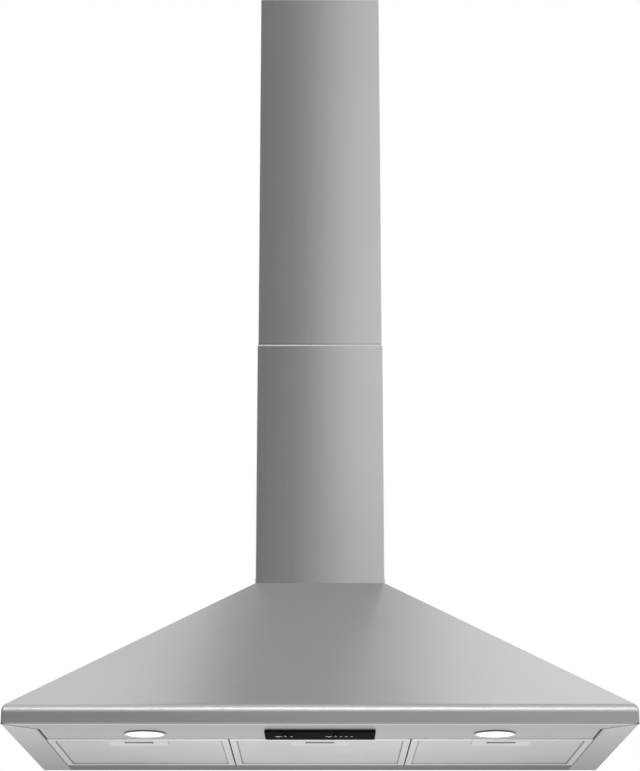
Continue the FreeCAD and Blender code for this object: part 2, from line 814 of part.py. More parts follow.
def outlet_collar():
    body = new_body("outlet_collar_body")
    profile = [
        ("outlet_hole_radius", "0"),
        ("collar_base_radius", "0"),
        ("collar_base_radius", "collar_base"),
        ("duct_radius", "collar_base"),
        ("duct_radius", "collar_height"),
        ("collar_bore", "collar_height"),
        ("collar_bore", "flap_pin_rise - flap_wall/2"),
        ("collar_bore - ledge_width", "flap_pin_rise - flap_wall/2"),
        ("collar_bore - ledge_width", "flap_pin_rise - flap_wall/2 - ledge_height"),
        ("collar_bore", "flap_pin_rise - flap_wall/2 - ledge_height - ledge_width"),
        ("collar_bore", "collar_base"),
    ]
    revolve(body, profile)
    pad(body, "XY_Plane", "0", "collar_base",
        rectangle("duct_radius", "ear_reach", "-ear_half_depth", "ear_half_depth"))
    pad(body, "XY_Plane", "0", "collar_base",
        rectangle("-ear_reach", "-duct_radius", "-ear_half_depth", "ear_half_depth"))
    pocket(body, "XY_Plane", "-overrun", "collar_base + overrun + overrun",
           *[(f"{across}*ear_screw_x", f"{along}*ear_screw_y", "cover_screw_radius + shaft_fit")
             for across in (-1, 1) for along in (-1, 1)])
    pocket(body, "XZ_Plane", "-duct_radius - overrun", "2*duct_radius + 2*overrun",
           ("0", "flap_pin_rise", "flap_pin_radius + pin_fit"))
    place(body, y="-duct_y", z="canopy_top")
    return node(body, "outlet_collar")


def flap_pin():
    return node(cylinder("flap_pin", "y", "0", "-duct_y - duct_radius + pin_inset",
                         "canopy_top + flap_pin_rise", "flap_pin_radius", "2*(duct_radius - pin_inset)"),
                "flap_pin")


def flap(label, side, knuckles):
    """A half disc with knuckles on the pin, cut back where the other flap's knuckles turn."""
    body = new_body(label + "_body")
    radius = "collar_bore - flap_rim_gap"
    edge = "knuckle_radius + knuckle_gap"
    tip = f"sqrt(({radius})*({radius}) - ({edge})*({edge}))"
    half_disc = [
        (f"{side}*({edge})", f"-({tip})", f"{'' if side > 0 else '-'}({radius})"),
        (f"{side}*({radius})", "0", f"{'' if side > 0 else '-'}({radius})"),
        (f"{side}*({edge})", tip),
    ]
    pad(body, "XY_Plane", "-flap_wall/2", "flap_wall", half_disc)
    for centre in knuckles:
        low = f"{centre}*(knuckle_length + knuckle_gap) - knuckle_length/2"
        start = f"-({low}) - knuckle_length"
        pad(body, "XY_Plane", "-flap_wall/2", "flap_wall",
            rectangle(*on_side(side, "0", edge), low, f"{low} + knuckle_length"))
        pad(body, "XZ_Plane", start, "knuckle_length", ("0", "0", "knuckle_radius"))
    pocket(body, "XZ_Plane", "-duct_radius", "2*duct_radius", ("0", "0", "flap_pin_radius + pin_fit"))
    place(body, y="-duct_y", z="canopy_top + flap_pin_rise")
    return node(body, label)


def collar_screws():
    spots = [(f"{across}*ear_screw_x", f"-duct_y + {along}*ear_screw_y", "canopy_top + collar_base", 1)
             for across in (-1, 1) for along in (-1, 1)]
    screws("collar_screws", "z", spots, ("cover_head_radius", "cover_head_height"),
           ("cover_screw_radius", "collar_base + sheet_wall + housing_wall"))


# Blower: a scroll in two halves round a double-inlet impeller, with the motor in its left side

def scroll(wall, top):
    """The scroll, a wall outside its air side: three quarter arcs that widen, then the outlet."""
    low = "volute_step/2"
    first = f"(tongue_radius + {wall})"
    second = f"(tongue_radius + volute_step + {wall})"
    third = f"(tongue_radius + 2*volute_step + {wall})"
    return [
        (f"-{low} - {wall}", top),
        (f"-{low} - {wall}", f"-{low} + sqrt({first}*{first} - {wall}*{wall})", first),
        (f"-{low} - {first}", f"-{low}", second),
        (low, f"-{low} - {second}", third),
        (f"{low} + {third}", low),
        (f"{low} + {third}", top),
    ]


def blower_housing(label, side):
    body = new_body(label + "_body")
    width = "housing_half_width"
    top = "blower_drop - sheet_wall"
    pad(body, "YZ_Plane", on_side(side, "0", width)[0], width, scroll("housing_wall", top))
    pad(body, "YZ_Plane", on_side(side, "0", "seam_wall")[0], "seam_wall", scroll("seam_rib", top))
    inner_start = on_side(side, "-overrun", f"{width} - housing_wall")[0]
    inside = scroll("0", f"{top} + overrun")
    pocket(body, "YZ_Plane", inner_start, f"{width} - housing_wall + overrun", inside)
    lip_start = on_side(side, width, f"{width} + inlet_lip")[0]
    pad(body, "YZ_Plane", lip_start, "inlet_lip", ("0", "0", "inlet_radius + housing_wall"))
    hole = (f"{width} - housing_wall - overrun", f"{width} + inlet_lip + overrun")
    pocket(body, "YZ_Plane", on_side(side, *hole)[0], "housing_wall + inlet_lip + 2*overrun",
           ("0", "0", "inlet_radius"))
    pocket(body, "YZ_Plane", on_side(side, "0", "seam_wall")[0], "seam_wall",
           *[(y, z, "seam_screw_radius + shaft_fit") for y, z in seam_spots()])
    centre = "blower_y - duct_y"
    pad(body, "XY_Plane", f"{top} - housing_wall", "housing_wall",
        rectangle(*on_side(side, width, "ear_reach"), f"{centre} - ear_half_depth",
                  f"{centre} + ear_half_depth"))
    pocket(body, "XY_Plane", f"{top} - housing_wall - overrun", "housing_wall + 2*overrun",
           *[(f"{side}*ear_screw_x", f"{centre} + {along}*ear_screw_y", "cover_screw_radius + shaft_fit")
             for along in (-1, 1)])
    place(body, y="-blower_y", z="blower_z")
    return node(body, label)


def seam_spots():
    """Where the halves are screwed together: outside the middle of each of the three arcs."""
    low = "volute_step/2"
    rib = "(seam_rib + housing_wall)/2"
    arcs = (("-", "-", "-", "+", "0"), ("+", "-", "-", "-", "1"), ("+", "+", "+", "-", "2"))
    spots = []
    for y_sign, z_sign, y_way, z_way, step in arcs:
        reach = f"(tongue_radius + {step}*volute_step + {rib})*sqrt(1/2)"
        spots.append((f"0 {y_sign} {low} {y_way} {reach}", f"0 {z_sign} {low} {z_way} {reach}"))
    return spots


def housing_screws():
    spots = [("seam_wall", f"-blower_y + {y}", f"blower_z + {z}", 1) for y, z in seam_spots()]
    screws("housing_screws", "x", spots, ("seam_head_radius", "seam_head_height"),
           ("seam_screw_radius", "2*seam_wall"))


def impeller():
    body = new_body("impeller_body")
    inner = "(impeller_radius - blade_depth)"
    pad(body, "YZ_Plane", "-impeller_disc/2", "impeller_disc", ("0", "0", "impeller_radius"))
    pad(body, "YZ_Plane", "0", "hub_length", ("0", "0", "hub_radius"))
    for start in ("-impeller_half_width", "impeller_half_width - impeller_ring"):
        pad(body, "YZ_Plane", start, "impeller_ring", ("0", "0", "impeller_radius"),
            ("0", "0", f"{inner} + blade_depth/2"))
    bow = "(blade_depth*blade_depth/8/blade_bow + blade_bow/2)"
    blade = [
        (inner, "0", bow),
        ("impeller_radius - blade_wall/2", "0"),
        ("impeller_radius - blade_wall/2", "blade_wall", f"-{bow}"),
        (inner, "blade_wall"),
    ]
    feature = pad(body, "YZ_Plane", "-impeller_half_width + impeller_ring/2",
                  "2*impeller_half_width - impeller_ring", blade)
    pattern = body.newObject("PartDesign::PolarPattern", "impeller_blades")
    pattern.Originals = [feature]
    pattern.Axis = (feature.Profile[0], ["N_Axis"])
    pattern.Angle = 360
    pattern.setExpression("Occurrences", bound("blade_count"))
    body.Tip = pattern
    doc.recompute()
    pocket(body, "YZ_Plane", "-impeller_disc/2 - overrun", "hub_length + impeller_disc + 2*overrun",
           ("0", "0", "shaft_radius"))
    place(body, y="-blower_y", z="blower_z")
    return node(body, "impeller")


def motor():
    body = new_body("motor_body")
    back = "-(motor_gap + motor_length)"
    pad(body, "YZ_Plane", back, "motor_length", ("0", "0", "motor_radius - motor_bell_step"))
    bevelled(body, "motor_bevel", lambda b: b.XLength < SAME)
    pad(body, "YZ_Plane", f"{back} + (motor_length - motor_band)/2", "motor_band",
        ("0", "0", "motor_radius"))
    pocket(body, "YZ_Plane", f"{back} - overrun", "motor_length + 2*overrun",
           ("0", "0", "shaft_radius + shaft_fit"))
    place(body, y="-blower_y", z="blower_z")
    node(body, "motor")
    node(cylinder("motor_shaft", "x", "-(motor_gap + motor_length)", "-blower_y", "blower_z",
                  "shaft_radius", "motor_gap + motor_length + hub_length"), "motor_shaft")


def motor_spider():
    """Three-armed plate across the left inlet that carries the motor on rubber mounts."""
    body = new_body("motor_bracket_body")
    back = "-(motor_gap + motor_length)"
    pad(body, "YZ_Plane", f"{back} - spider_wall", "spider_wall", ("0", "0", "spider_hub_radius"))
    reach = "spider_mount_radius + rubber_radius"
    arm = rectangle("-spider_arm_width/2", "spider_arm_width/2", "0", reach)
    feature = pad(body, "YZ_Plane", f"{back} - spider_wall", "spider_wall", arm)
    pattern = body.newObject("PartDesign::PolarPattern", "motor_bracket_arms")
    pattern.Originals = [feature]
    pattern.Axis = (feature.Profile[0], ["N_Axis"])
    pattern.Angle = 360
    pattern.Occurrences = 3
    body.Tip = pattern
    doc.recompute()
    place(body, y="-blower_y", z="blower_z")
    node(body, "motor_bracket")
    mounts = []
    for index in range(3):
        angle = f"{90 + index*120} deg"
        mounts.append(cylinder(f"motor_mount_{index}", "x", back,
                               f"-blower_y + spider_mount_radius*cos({angle})",
                               f"blower_z + spider_mount_radius*sin({angle})", "rubber_radius",
                               "motor_gap + motor_length - housing_half_width"))
    node(group("motor_mounts", mounts), "motor_mounts")


# Electrics on the back panel

def electrics():
    x = ("box_x", "box_x + box_width")
    y = ("-(back_wall + box_depth)", "-back_wall")
    z = ("box_z", "box_z + box_height")
    outer = box("electrics_box_outer", x, y, z)
    inner = box("electrics_box_inner", ("box_x + box_wall", "box_x + box_width - box_wall"),
                ("-(back_wall + box_depth) - overrun", "-back_wall - box_wall"),
                ("box_z + box_wall", "box_z + box_height - box_wall"))
    node(boolean("Cut", "electrics_box", [outer, inner]), "electrics_box")
    node(box("electrics_cover", x, ("-(back_wall + box_depth + box_wall)", "-(back_wall + box_depth)"), z),
         "electrics_cover")
    floor = "-(back_wall + box_wall)"
    middle = "box_x + box_width/2"
    low = "box_z + 2*box_wall"
    node(box("lamp_driver", (f"{middle} - driver_width/2", f"{middle} + driver_width/2"),
             (f"{floor} - driver_depth", floor), (low, f"{low} + driver_height")), "lamp_driver")
    top = "box_z + box_height - 3*box_wall"
    node(box("terminal_block", (f"{middle} - terminal_width/2", f"{middle} + terminal_width/2"),
             (f"{floor} - terminal_depth", floor), (f"{top} - terminal_height", top)), "terminal_block")


def capacitor():
    y = "-(back_wall + capacitor_clip + capacitor_radius)"
    node(cylinder("capacitor", "z", "-capacitor_x", y, "box_z", "capacitor_radius", "capacitor_length"),
         "capacitor")
    clip = new_body("capacitor_clip_body")
    grip = "capacitor_radius + capacitor_clip"
    low = "-capacitor_clip_width/2"
    pad(clip, "XY_Plane", low, "capacitor_clip_width", ("0", "0", grip))
    pad(clip, "XY_Plane", low, "capacitor_clip_width",
        rectangle("-capacitor_clip_reach", "capacitor_clip_reach", "capacitor_radius", grip))
    pocket(clip, "XY_Plane", f"{low} - overrun", "capacitor_clip_width + 2*overrun",
           ("0", "0", "capacitor_radius"))
    pocket(clip, "XY_Plane", f"{low} - overrun", "capacitor_clip_width + 2*overrun",
           rectangle("-capacitor_clip_mouth/2", "capacitor_clip_mouth/2", f"-({grip}) - overrun", "0"))
    place(clip, "-capacitor_x", y, "box_z + capacitor_length/2")
    node(clip, "capacitor_clip")


def cable_gland():
    """Gland for the supply cable in the canopy's top, with its nut below."""
    body = new_body("cable_gland_body")
    profile = [
        ("gland_bore_radius", "-gland_thread_length"),
        ("gland_thread_radius", "-gland_thread_length"),
        ("gland_thread_radius", "0"),
        ("gland_head_radius", "0"),
        ("gland_head_radius", "gland_head_height"),
        ("gland_thread_radius", "gland_head_height + gland_dome_height"),
        ("gland_bore_radius", "gland_head_height + gland_dome_height"),
    ]
    revolve(body, profile)
    place(body, "gland_x", "-gland_y", "canopy_top")
    node(body, "cable_gland")
    nut = new_body("gland_nut_body")
    hexagon = [(f"gland_head_radius*cos({index*60} deg)", f"gland_head_radius*sin({index*60} deg)")
               for index in range(6)]
    pad(nut, "XY_Plane", "-gland_nut_height", "gland_nut_height", hexagon)
    pocket(nut, "XY_Plane", "-gland_nut_height - overrun", "gland_nut_height + 2*overrun",
           ("0", "0", "gland_thread_radius"))
    place(nut, "gland_x", "-gland_y", "canopy_top - sheet_wall")
    node(nut, "gland_nut")


# Lamps in the front panel

def lamp(name, side):
    x = f"{side}*lamp_x"
    trim = new_body(name + "_ring_body")
    revolve(trim, [
        ("lamp_glass_radius", "-lamp_ring_wall"),
        ("lamp_ring_radius - lamp_ring_wall", "-lamp_ring_wall"),
        ("lamp_ring_radius", "0"),
        ("lamp_can_radius - lamp_can_wall", "0"),
        ("lamp_can_radius - lamp_can_wall", "lamp_ring_wall"),
        ("lamp_glass_radius", "lamp_ring_wall"),
    ])
    place(trim, x, "-lamp_y")
    node(trim, name + "_ring")
    glass = new_body(name + "_lens_body")
    pad(glass, "XY_Plane", "-lamp_ring_wall/2", "lamp_glass_wall", ("0", "0", "lamp_glass_radius"))
    place(glass, x, "-lamp_y")
    node(glass, name + "_lens")
    can = new_body(name + "_housing_body")
    revolve(can, [
        ("lamp_can_radius - lamp_can_wall", "0"),
        ("lamp_can_radius", "0"),
        ("lamp_can_radius", "lamp_can_height"),
        ("0", "lamp_can_height"),
        ("0", "lamp_can_height - lamp_can_wall"),
        ("lamp_can_radius - lamp_can_wall", "lamp_can_height - lamp_can_wall"),
    ])
    place(can, x, "-lamp_y")
    node(can, name + "_housing")


def lamp_clips():
    """Leaf springs that draw each lamp up against the panel."""
    clips = []
    for side in (-1, 1):
        for hand in (-1, 1):
            body = new_body("lamp_clip")
            start = f"{hand}*lamp_can_radius"
            leaf = [
                (start, "leaf_rise"),
                (f"{start} + {hand}*leaf_wall", "leaf_rise"),
                (f"{start} + {hand}*leaf_reach", "sheet_wall"),
                (f"{start} + {hand}*(leaf_reach - 2*leaf_wall)", "sheet_wall"),
                (start, "leaf_rise - 2*leaf_wall"),
            ]
            pad(body, "XZ_Plane", "-leaf_width/2", "leaf_width", leaf)
            place(body, f"{side}*lamp_x", "-lamp_y")
            clips.append(body)
    node(group("lamp_clips", clips), "lamp_clips")


# Controls in the front panel: a housing, two sliders and the switch board

def control_housing():
    body = new_body("control_housing_body")
    half = "control_width/2"
    deep = "control_depth/2"
    pad(body, "XY_Plane", "-control_proud", "control_proud", rectangle(f"-{half}", half, f"-{deep}", deep))
    rounded(body, "control_corner", upright)
    face = mm("-control_proud")
    rounded(body, "control_edge", lambda b: same(b.ZMax, face))
    box_half = "control_box_width/2"
    box_deep = "control_box_depth/2"
    pad(body, "XY_Plane", "0", "control_box_height",
        rectangle(f"-{box_half}", box_half, f"-{box_deep}", box_deep))
    pocket(body, "XY_Plane", "-control_proud + control_wall",
           "control_proud - control_wall + control_box_height + overrun",
           rectangle(f"-({box_half} - control_wall)", f"{box_half} - control_wall",
                     f"-({box_deep} - control_wall)", f"{box_deep} - control_wall"))
    row = "-(slider_y - control_y)"
    for start, travel in (("-light_slider_x", "light_travel"), ("fan_slider_x", "fan_travel")):
        slot = rectangle(f"{start} - slider_stem_width/2 - slider_gap",
                         f"{start} + {travel} + slider_stem_width/2 + slider_gap",
                         f"{row} - slider_stem_depth/2 - slider_gap",
                         f"{row} + slider_stem_depth/2 + slider_gap")
        pocket(body, "XY_Plane", "-control_proud - overrun", "control_wall + 2*overrun", slot)
    place(body, y="-control_y")
    return node(body, "control_housing")


def slider(label, start):
    """A thumb slider: knob below the housing's face, stem through its slot, foot inside."""
    body = new_body(label + "_body")
    stem = "control_wall + 2*slider_gap"
    levels = (("slider", "-slider_height", "slider_height"), ("slider_stem", "0", stem),
              ("slider_foot", stem, "slider_foot_height"))
    for size, start_level, height in levels:
        pad(body, "XY_Plane", start_level, height,
            rectangle(f"-{size}_width/2", f"{size}_width/2", f"-{size}_depth/2", f"{size}_depth/2"))
        if size == "slider":
            rounded(body, "slider_edge", lambda b: same(b.ZMax, -mm("slider_height")))
    pocket(body, "XY_Plane", "-slider_height - overrun", "overrun + slider_mark_depth",
           rectangle("-slider_mark_width/2", "slider_mark_width/2", "-slider_depth/2 - overrun", "0"))
    place(body, start, "-slider_y", "-control_proud - slider_gap")
    return node(body, label)


def switch_board():
    """Board that closes the housing from above and carries the two slide switches."""
    inside_x = "control_box_width/2 - control_wall"
    inside_y = "control_box_depth/2 - control_wall"
    top = "control_box_height"
    board = box("switch_plate", (f"-({inside_x})", inside_x),
                (f"-control_y - ({inside_y})", f"-control_y + {inside_y}"), (f"{top} - board_wall", top))
    bodies = [board]
    foot_top = "-control_proud + control_wall + slider_gap + slider_foot_height"
    switches = (("light", "-light_slider_x", "light_travel"), ("fan", "fan_slider_x", "fan_travel"))
    for name, start, travel in switches:
        bodies.append(box(name + "_switch",
                          (f"{start} - slider_foot_width", f"{start} + {travel} + slider_foot_width"),
                          ("-slider_y - switch_depth/2", "-slider_y + switch_depth/2"),
                          (f"{foot_top} + slider_gap", f"{top} - board_wall")))
    return node(boolean("MultiFuse", "switch_board", bodies), "switch_board")


# Grease filters: frame, mesh, handle, latch and spring, three alike

def filter_frame(label, index):
    """A rim round the mesh, with two rear hooks and a slot for the bolt; its origin is its rear middle."""
    body = new_body(label + "_body")
    half = "filter_width/2"
    pad(body, "XY_Plane", "0", "filter_wall", rectangle(f"-{half}", half, "-filter_depth", "0"))
    rounded(body, "filter_corner", upright)
    rounded(body, "filter_edge", lambda b: same(b.ZMax, 0))
    pocket(body, "XY_Plane", "-overrun", "filter_wall + 2*overrun",
           rectangle(f"-({half} - filter_border)", f"{half} - filter_border",
                     "-(filter_depth - filter_border)", "-filter_border"))
    reach = mm(f"{half} - filter_border") + SAME
    rounded(body, "border_edge",
            lambda b: same(b.ZMin, 0) and same(b.ZMax, 0) and -reach < b.XMin and b.XMax < reach)
    for side in (-1, 1):
        hook = rectangle(f"{side}*hook_spacing/2 - hook_width/2", f"{side}*hook_spacing/2 + hook_width/2",
                         "-filter_border/2", "hinge_gap + hook_length")
        pad(body, "XY_Plane", "filter_drop + 2*sheet_wall + hook_lift", "hook_wall", hook)
    slot = rectangle("-(bolt_width/2 + bolt_fit)", "bolt_width/2 + bolt_fit",
                     "bolt_z - bolt_fit", "bolt_z + bolt_step + bolt_wall + bolt_fit")
    pocket(body, "XZ_Plane", "filter_depth - filter_border - overrun", "filter_border + 2*overrun", slot)
    place(body, f"{index}*filter_pitch", "-filter_back", "-filter_drop")
    return node(body, label)


def filter_mesh(label, index):
    body = new_body(label + "_body")
    inside = "filter_width/2 - filter_border"
    front = "-(filter_depth - filter_border)"
    notch = "handle_width/2"
    pad(body, "XY_Plane", "mesh_sink", "mesh_wall", [
        (f"-({inside})", "-filter_border"),
        (f"-({inside})", front),
        (f"-{notch}", front),
        (f"-{notch}", f"{front} + handle_depth"),
        (notch, f"{front} + handle_depth"),
        (notch, front),
        (inside, front),
        (inside, "-filter_border"),
    ])
    place(body, f"{index}*filter_pitch", "-filter_back", "-filter_drop")
    return node(body, label)


def filter_handle(label, index):
    """A moulded pull in the filter's front edge, with a finger recess and the bolt's guide."""
    body = new_body(label + "_body")
    front = "-(filter_depth - filter_border)"
    half = "handle_width/2"
    pad(body, "XY_Plane", "0", "filter_wall", rectangle(f"-{half}", half, front, f"{front} + handle_depth"))
    back = f"{front} + pull_front + pull_depth"
    recess = rectangle("-pull_width/2", "pull_width/2", f"{front} + pull_front", back)
    pocket(body, "XY_Plane", "-overrun", "overrun + filter_wall - handle_wall", recess)
    limits = (mm("pull_width/2") + SAME, mm(front) + SAME, mm(f"{front} + handle_depth") - SAME)
    bevelled(body, "pull_edge",
             lambda b: same(b.ZMax, 0) and b.XMax < limits[0] and limits[1] < b.YMin and b.YMax < limits[2])
    guide = rectangle("-(bolt_width/2 + bolt_fit)", "bolt_width/2 + bolt_fit",
                      "bolt_z - bolt_fit", "bolt_z + bolt_step + bolt_wall + bolt_fit")
    pocket(body, "XZ_Plane", "filter_depth - filter_border - pull_front - overrun",
           "pull_front + 2*overrun", guide)
    seat = "filter_depth - filter_border - handle_depth + handle_wall"
    space = rectangle("-spring_width", "spring_width", "bolt_z - bolt_fit",
                      "bolt_z + spring_height + bolt_fit")
    pocket(body, "XZ_Plane", seat, "handle_depth - handle_wall - pull_front - pull_depth + overrun", space)
    place(body, f"{index}*filter_pitch", "-filter_back", "-filter_drop")
    return node(body, label)


def filter_latch(label, index):
    """A flat bolt with a bevelled nose over the panel's hem and a finger tab in the recess."""
    body = new_body(label + "_body")
    nose = "-(filter_depth + filter_gap + bolt_reach)"
    tab = "-(filter_depth - filter_border) + pull_front + pull_depth - bolt_travel - bolt_lift - tab_wall"
    step = f"{nose} + bolt_reach + filter_gap + filter_border/2 + bolt_travel"
    side_view = [
        (f"{nose} + bolt_bevel", "bolt_z"),
        (step, "bolt_z"),
        (f"{step} + bolt_step", "bolt_z + bolt_step"),
        (f"{tab} + tab_wall", "bolt_z + bolt_step"),
        (f"{tab} + tab_wall", "bolt_z + bolt_step + bolt_wall"),
        (f"{step} + bolt_step - bolt_wall/2", "bolt_z + bolt_step + bolt_wall"),
        (f"{step} - bolt_wall/2", "bolt_z + bolt_wall"),
        (f"{nose} + bolt_bevel", "bolt_z + bolt_wall"),
        (nose, "bolt_z + bolt_wall/2"),
    ]
    pad(body, "YZ_Plane", "-bolt_width/2", "bolt_width", side_view)
    pad(body, "XY_Plane", "bolt_lift", "filter_wall - handle_wall - 2*bolt_lift",
        rectangle("-tab_width/2", "tab_width/2", tab, f"{tab} + tab_wall"))
    place(body, f"{index}*filter_pitch", "-filter_back", "-filter_drop")
    return node(body, label)


def latch_spring(label, index):
    """A folded strip that presses the latch's tab forwards."""
    start = mm("-(filter_depth - filter_border) + pull_front + pull_depth - bolt_travel - bolt_lift")
    end = mm("-(filter_depth - filter_border) + handle_depth - handle_wall")
    folds = int(mm("spring_folds"))
    half = mm("spring_width/2")
    wall = mm("spring_wall")
    step = (end - start) / folds
    points = [(half * (-1) ** turn, start + turn * step) for turn in range(folds + 1)]
    shift = wall / 2 / math.sin(math.atan2(step, 2 * half))
    left = [Vector(x - shift, y, 0) for x, y in points]
    right = [Vector(x + shift, y, 0) for x, y in reversed(points)]
    face = Part.Face(Part.makePolygon(left + right + left[:1]))
    item = doc.addObject("Part::Feature", label)
    item.Shape = face.extrude(Vector(0, 0, mm("spring_height")))
    foot = Vector(index * mm("filter_pitch"), -mm("filter_back"), mm("bolt_z - filter_drop"))
    item.Placement = Placement(foot, Rotation())
    return node(item, label)


def grease_filters():
    for name, index in (("left", -1), ("middle", 0), ("right", 1)):
        filter_frame(name + "_filter_frame", index)
        filter_mesh(name + "_filter_mesh", index)
        filter_handle(name + "_filter_handle", index)
        filter_latch(name + "_filter_latch", index)
        latch_spring(name + "_latch_spring", index)


canopy_shell()
canopy_back_panel()
front_panel()
side_rail("left_side_rail", -1)
side_rail("right_side_rail", 1)
rear_rail()
lower_chimney_cover()
upper_chimney_cover()
chimney_wall_bracket()
cover_clips()
chimney_screws()
outlet_collar()
flap_pin()
flap("left_flap", -1, (-3, 0, 3))
flap("right_flap", 1, (-1, 1))
collar_screws()
blower_housing("blower_housing_left", -1)
blower_housing("blower_housing_right", 1)
housing_screws()
impeller()
motor()
motor_spider()
electrics()
capacitor()
cable_gland()
lamp("left_lamp", -1)
lamp("right_lamp", 1)
lamp_clips()
control_housing()
slider("light_slider", "-light_slider_x")
slider("fan_slider", "fan_slider_x")
switch_board()
grease_filters()
doc.recompute()

for item in doc.Objects:
    if "Invalid" in item.State or "Error" in item.State:
        raise ValueError(f"{item.Label} failed: {item.State}")
os.makedirs("parts", exist_ok=True)
for item in NODES:
    if item.Shape.isNull() or not item.Shape.isValid():
        raise ValueError(f"{item.Label} has no valid shape")
    item.Shape.exportStep(f"parts/{item.Label}.step")
    print(item.Label, len(item.Shape.Solids), round(item.Shape.Volume))
print(len(NODES), "sub-parts")
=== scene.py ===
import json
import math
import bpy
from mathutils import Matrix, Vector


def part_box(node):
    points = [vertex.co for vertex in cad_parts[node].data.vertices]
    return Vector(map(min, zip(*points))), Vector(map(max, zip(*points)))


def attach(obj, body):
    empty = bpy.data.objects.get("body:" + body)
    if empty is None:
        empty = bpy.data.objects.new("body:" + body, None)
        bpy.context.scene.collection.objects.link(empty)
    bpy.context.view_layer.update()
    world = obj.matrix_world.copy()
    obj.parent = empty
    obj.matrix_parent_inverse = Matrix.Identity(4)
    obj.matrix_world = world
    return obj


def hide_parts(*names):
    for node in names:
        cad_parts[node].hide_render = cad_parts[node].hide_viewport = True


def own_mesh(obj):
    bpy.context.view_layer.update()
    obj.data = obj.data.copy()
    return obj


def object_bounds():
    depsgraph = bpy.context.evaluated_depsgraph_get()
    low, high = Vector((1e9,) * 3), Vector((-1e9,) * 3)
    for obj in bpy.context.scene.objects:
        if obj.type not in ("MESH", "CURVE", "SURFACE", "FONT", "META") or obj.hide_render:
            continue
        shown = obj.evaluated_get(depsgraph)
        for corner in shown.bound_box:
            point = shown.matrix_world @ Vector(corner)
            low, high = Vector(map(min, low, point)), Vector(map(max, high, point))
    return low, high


bl_info = {
    "name": "Range Hood Finishes",
    "version": (1, 0, 0),
    "blender": (4, 5, 0),
    "location": "3D View > Sidebar > Range Hood",
    "description": "Finishes, small pieces and studio of a wall-mounted chimney range hood",
    "category": "Object",
}

import bmesh
import bpy
from bpy.props import FloatProperty, FloatVectorProperty, PointerProperty
from mathutils import Matrix, Vector

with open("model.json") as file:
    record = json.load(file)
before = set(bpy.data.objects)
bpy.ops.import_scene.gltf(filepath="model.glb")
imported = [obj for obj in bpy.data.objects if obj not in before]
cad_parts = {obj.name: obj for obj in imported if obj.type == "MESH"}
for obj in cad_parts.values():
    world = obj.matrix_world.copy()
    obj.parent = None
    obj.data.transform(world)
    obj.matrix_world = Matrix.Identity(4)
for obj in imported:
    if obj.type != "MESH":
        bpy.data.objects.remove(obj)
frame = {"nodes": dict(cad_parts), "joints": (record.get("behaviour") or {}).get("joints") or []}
NODES = frame["nodes"]
CAD_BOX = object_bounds()

FILTERS = ("left", "middle", "right")
SIDES = ("left", "right")

# Lines on the sheets: place from their start, half width, and the share of the colour around them
# that they keep. Over 1 they are painted highlights, under 1 dark joints or painted shade. Wear is
# the same for the roughness.
# Painted highlight along the canopy's lower edge
RIM_EDGE_HIGHLIGHT = (0.0, 0.0022, 1.42)
# Painted shade on the band above the canopy's lower edge
RIM_BAND_SHADE = (0.009, 0.012, 0.78)
RIM_EDGE_WEAR = (0.0, 0.0022, 2.2)
RIM_BEND_WEAR = (0.0225, 0.007, 1.3)
MITRE = (0.0, 0.0032, 0.10)
SEAM = (0.0, 0.0036, 0.08)
# Painted highlight along the front panel's front fold
FRONT_FOLD_HIGHLIGHT = (0.008, 0.006, 1.65)
# Painted shade in a line behind the front panel's front fold
PANEL_CREASE_SHADE = (0.017, 0.005, 0.92)
# Painted highlight along the front panel's rear hem
REAR_HEM_HIGHLIGHT = (-0.004, 0.006, 1.3)
# Painted highlight along the lower cover's top edge
COVER_EDGE_HIGHLIGHT = (-0.0009, 0.0018, 1.65)
COVER_EDGE_WEAR = (-0.0009, 0.0018, 2.6)
# Painted shadow on the upper cover just above the lower one's edge
COVER_SHADE = (0.0012, 0.0016, 0.8)
# Painted highlights on the filter frames, along their front edge and where the mesh ends at the rear
FRAME_EDGE_HIGHLIGHT = (0.0, 0.0036, 1.32)
FRAME_EDGE_WEAR = (0.0, 0.0036, 2.2)
# Painted shade along the sides of each filter frame's opening
MESH_SIDE_SHADE = (-0.010, 0.0022, 0.35)
MITRE_DEPTH = 0.05
MITRE_OVERRUN = 0.001
FRAME_FRONT_PLACE = 0.0006

# Lamps, controls and screws, in metres and counts
LAMP_FACE_RADIUS = 0.030
LAMP_EDGE_BLEND = 0.0002
POINTER_HALF = 0.00055
POINTER_FRONT = 0.0004
POINTER_REAR = 0.0002
POINTER_TOP = 0.00030
POINTER_DEPTH = 0.00015
SYMBOL_GAP = 0.0098
FAN_DOTS = 4
FAN_BLADES = 3
LIGHT_RAYS = 8
MERGE_DISTANCE = 1e-6
TIP_DEPTH = 0.0001
THREAD_PITCH = 0.001
SCREW_SIDES = 20
SCREW_SHARP_ANGLE = math.radians(35)

# Outlines of the printed symbols, as shares of their radius
DISC_SHARE = 0.48
HUB_SHARE = 0.2
RAY_SHARES = ((0.62, -0.11), (1.0, -0.11), (1.0, 0.11), (0.62, 0.11))
BLADE_SHARES = ((0.26, -0.10), (0.62, -0.42), (0.95, -0.30), (1.0, 0.02), (0.82, 0.26), (0.50, 0.22),
                (0.28, 0.08))

# Outline of a screw, as shares of its shank, its thread's pitch and its head's radius and height
TIP_SHARE = 0.55
ROOT_SHARE = 0.80
CREST_PITCH_SHARE = 0.4
ROOT_PITCH_SHARE = 0.9
RIM_SHARE = 0.95
HEAD_SHARES = ((0.98, 0.0), (1.0, 0.12), (1.0, 0.45), (0.93, 0.75), (0.80, 0.93), (0.66, 1.0))
ARM_SHARE = 0.12
REACH_SHARE = 0.50
RECESS_FLOOR_SHARE = 0.7
RECESS_HEIGHT_SHARE = 0.4

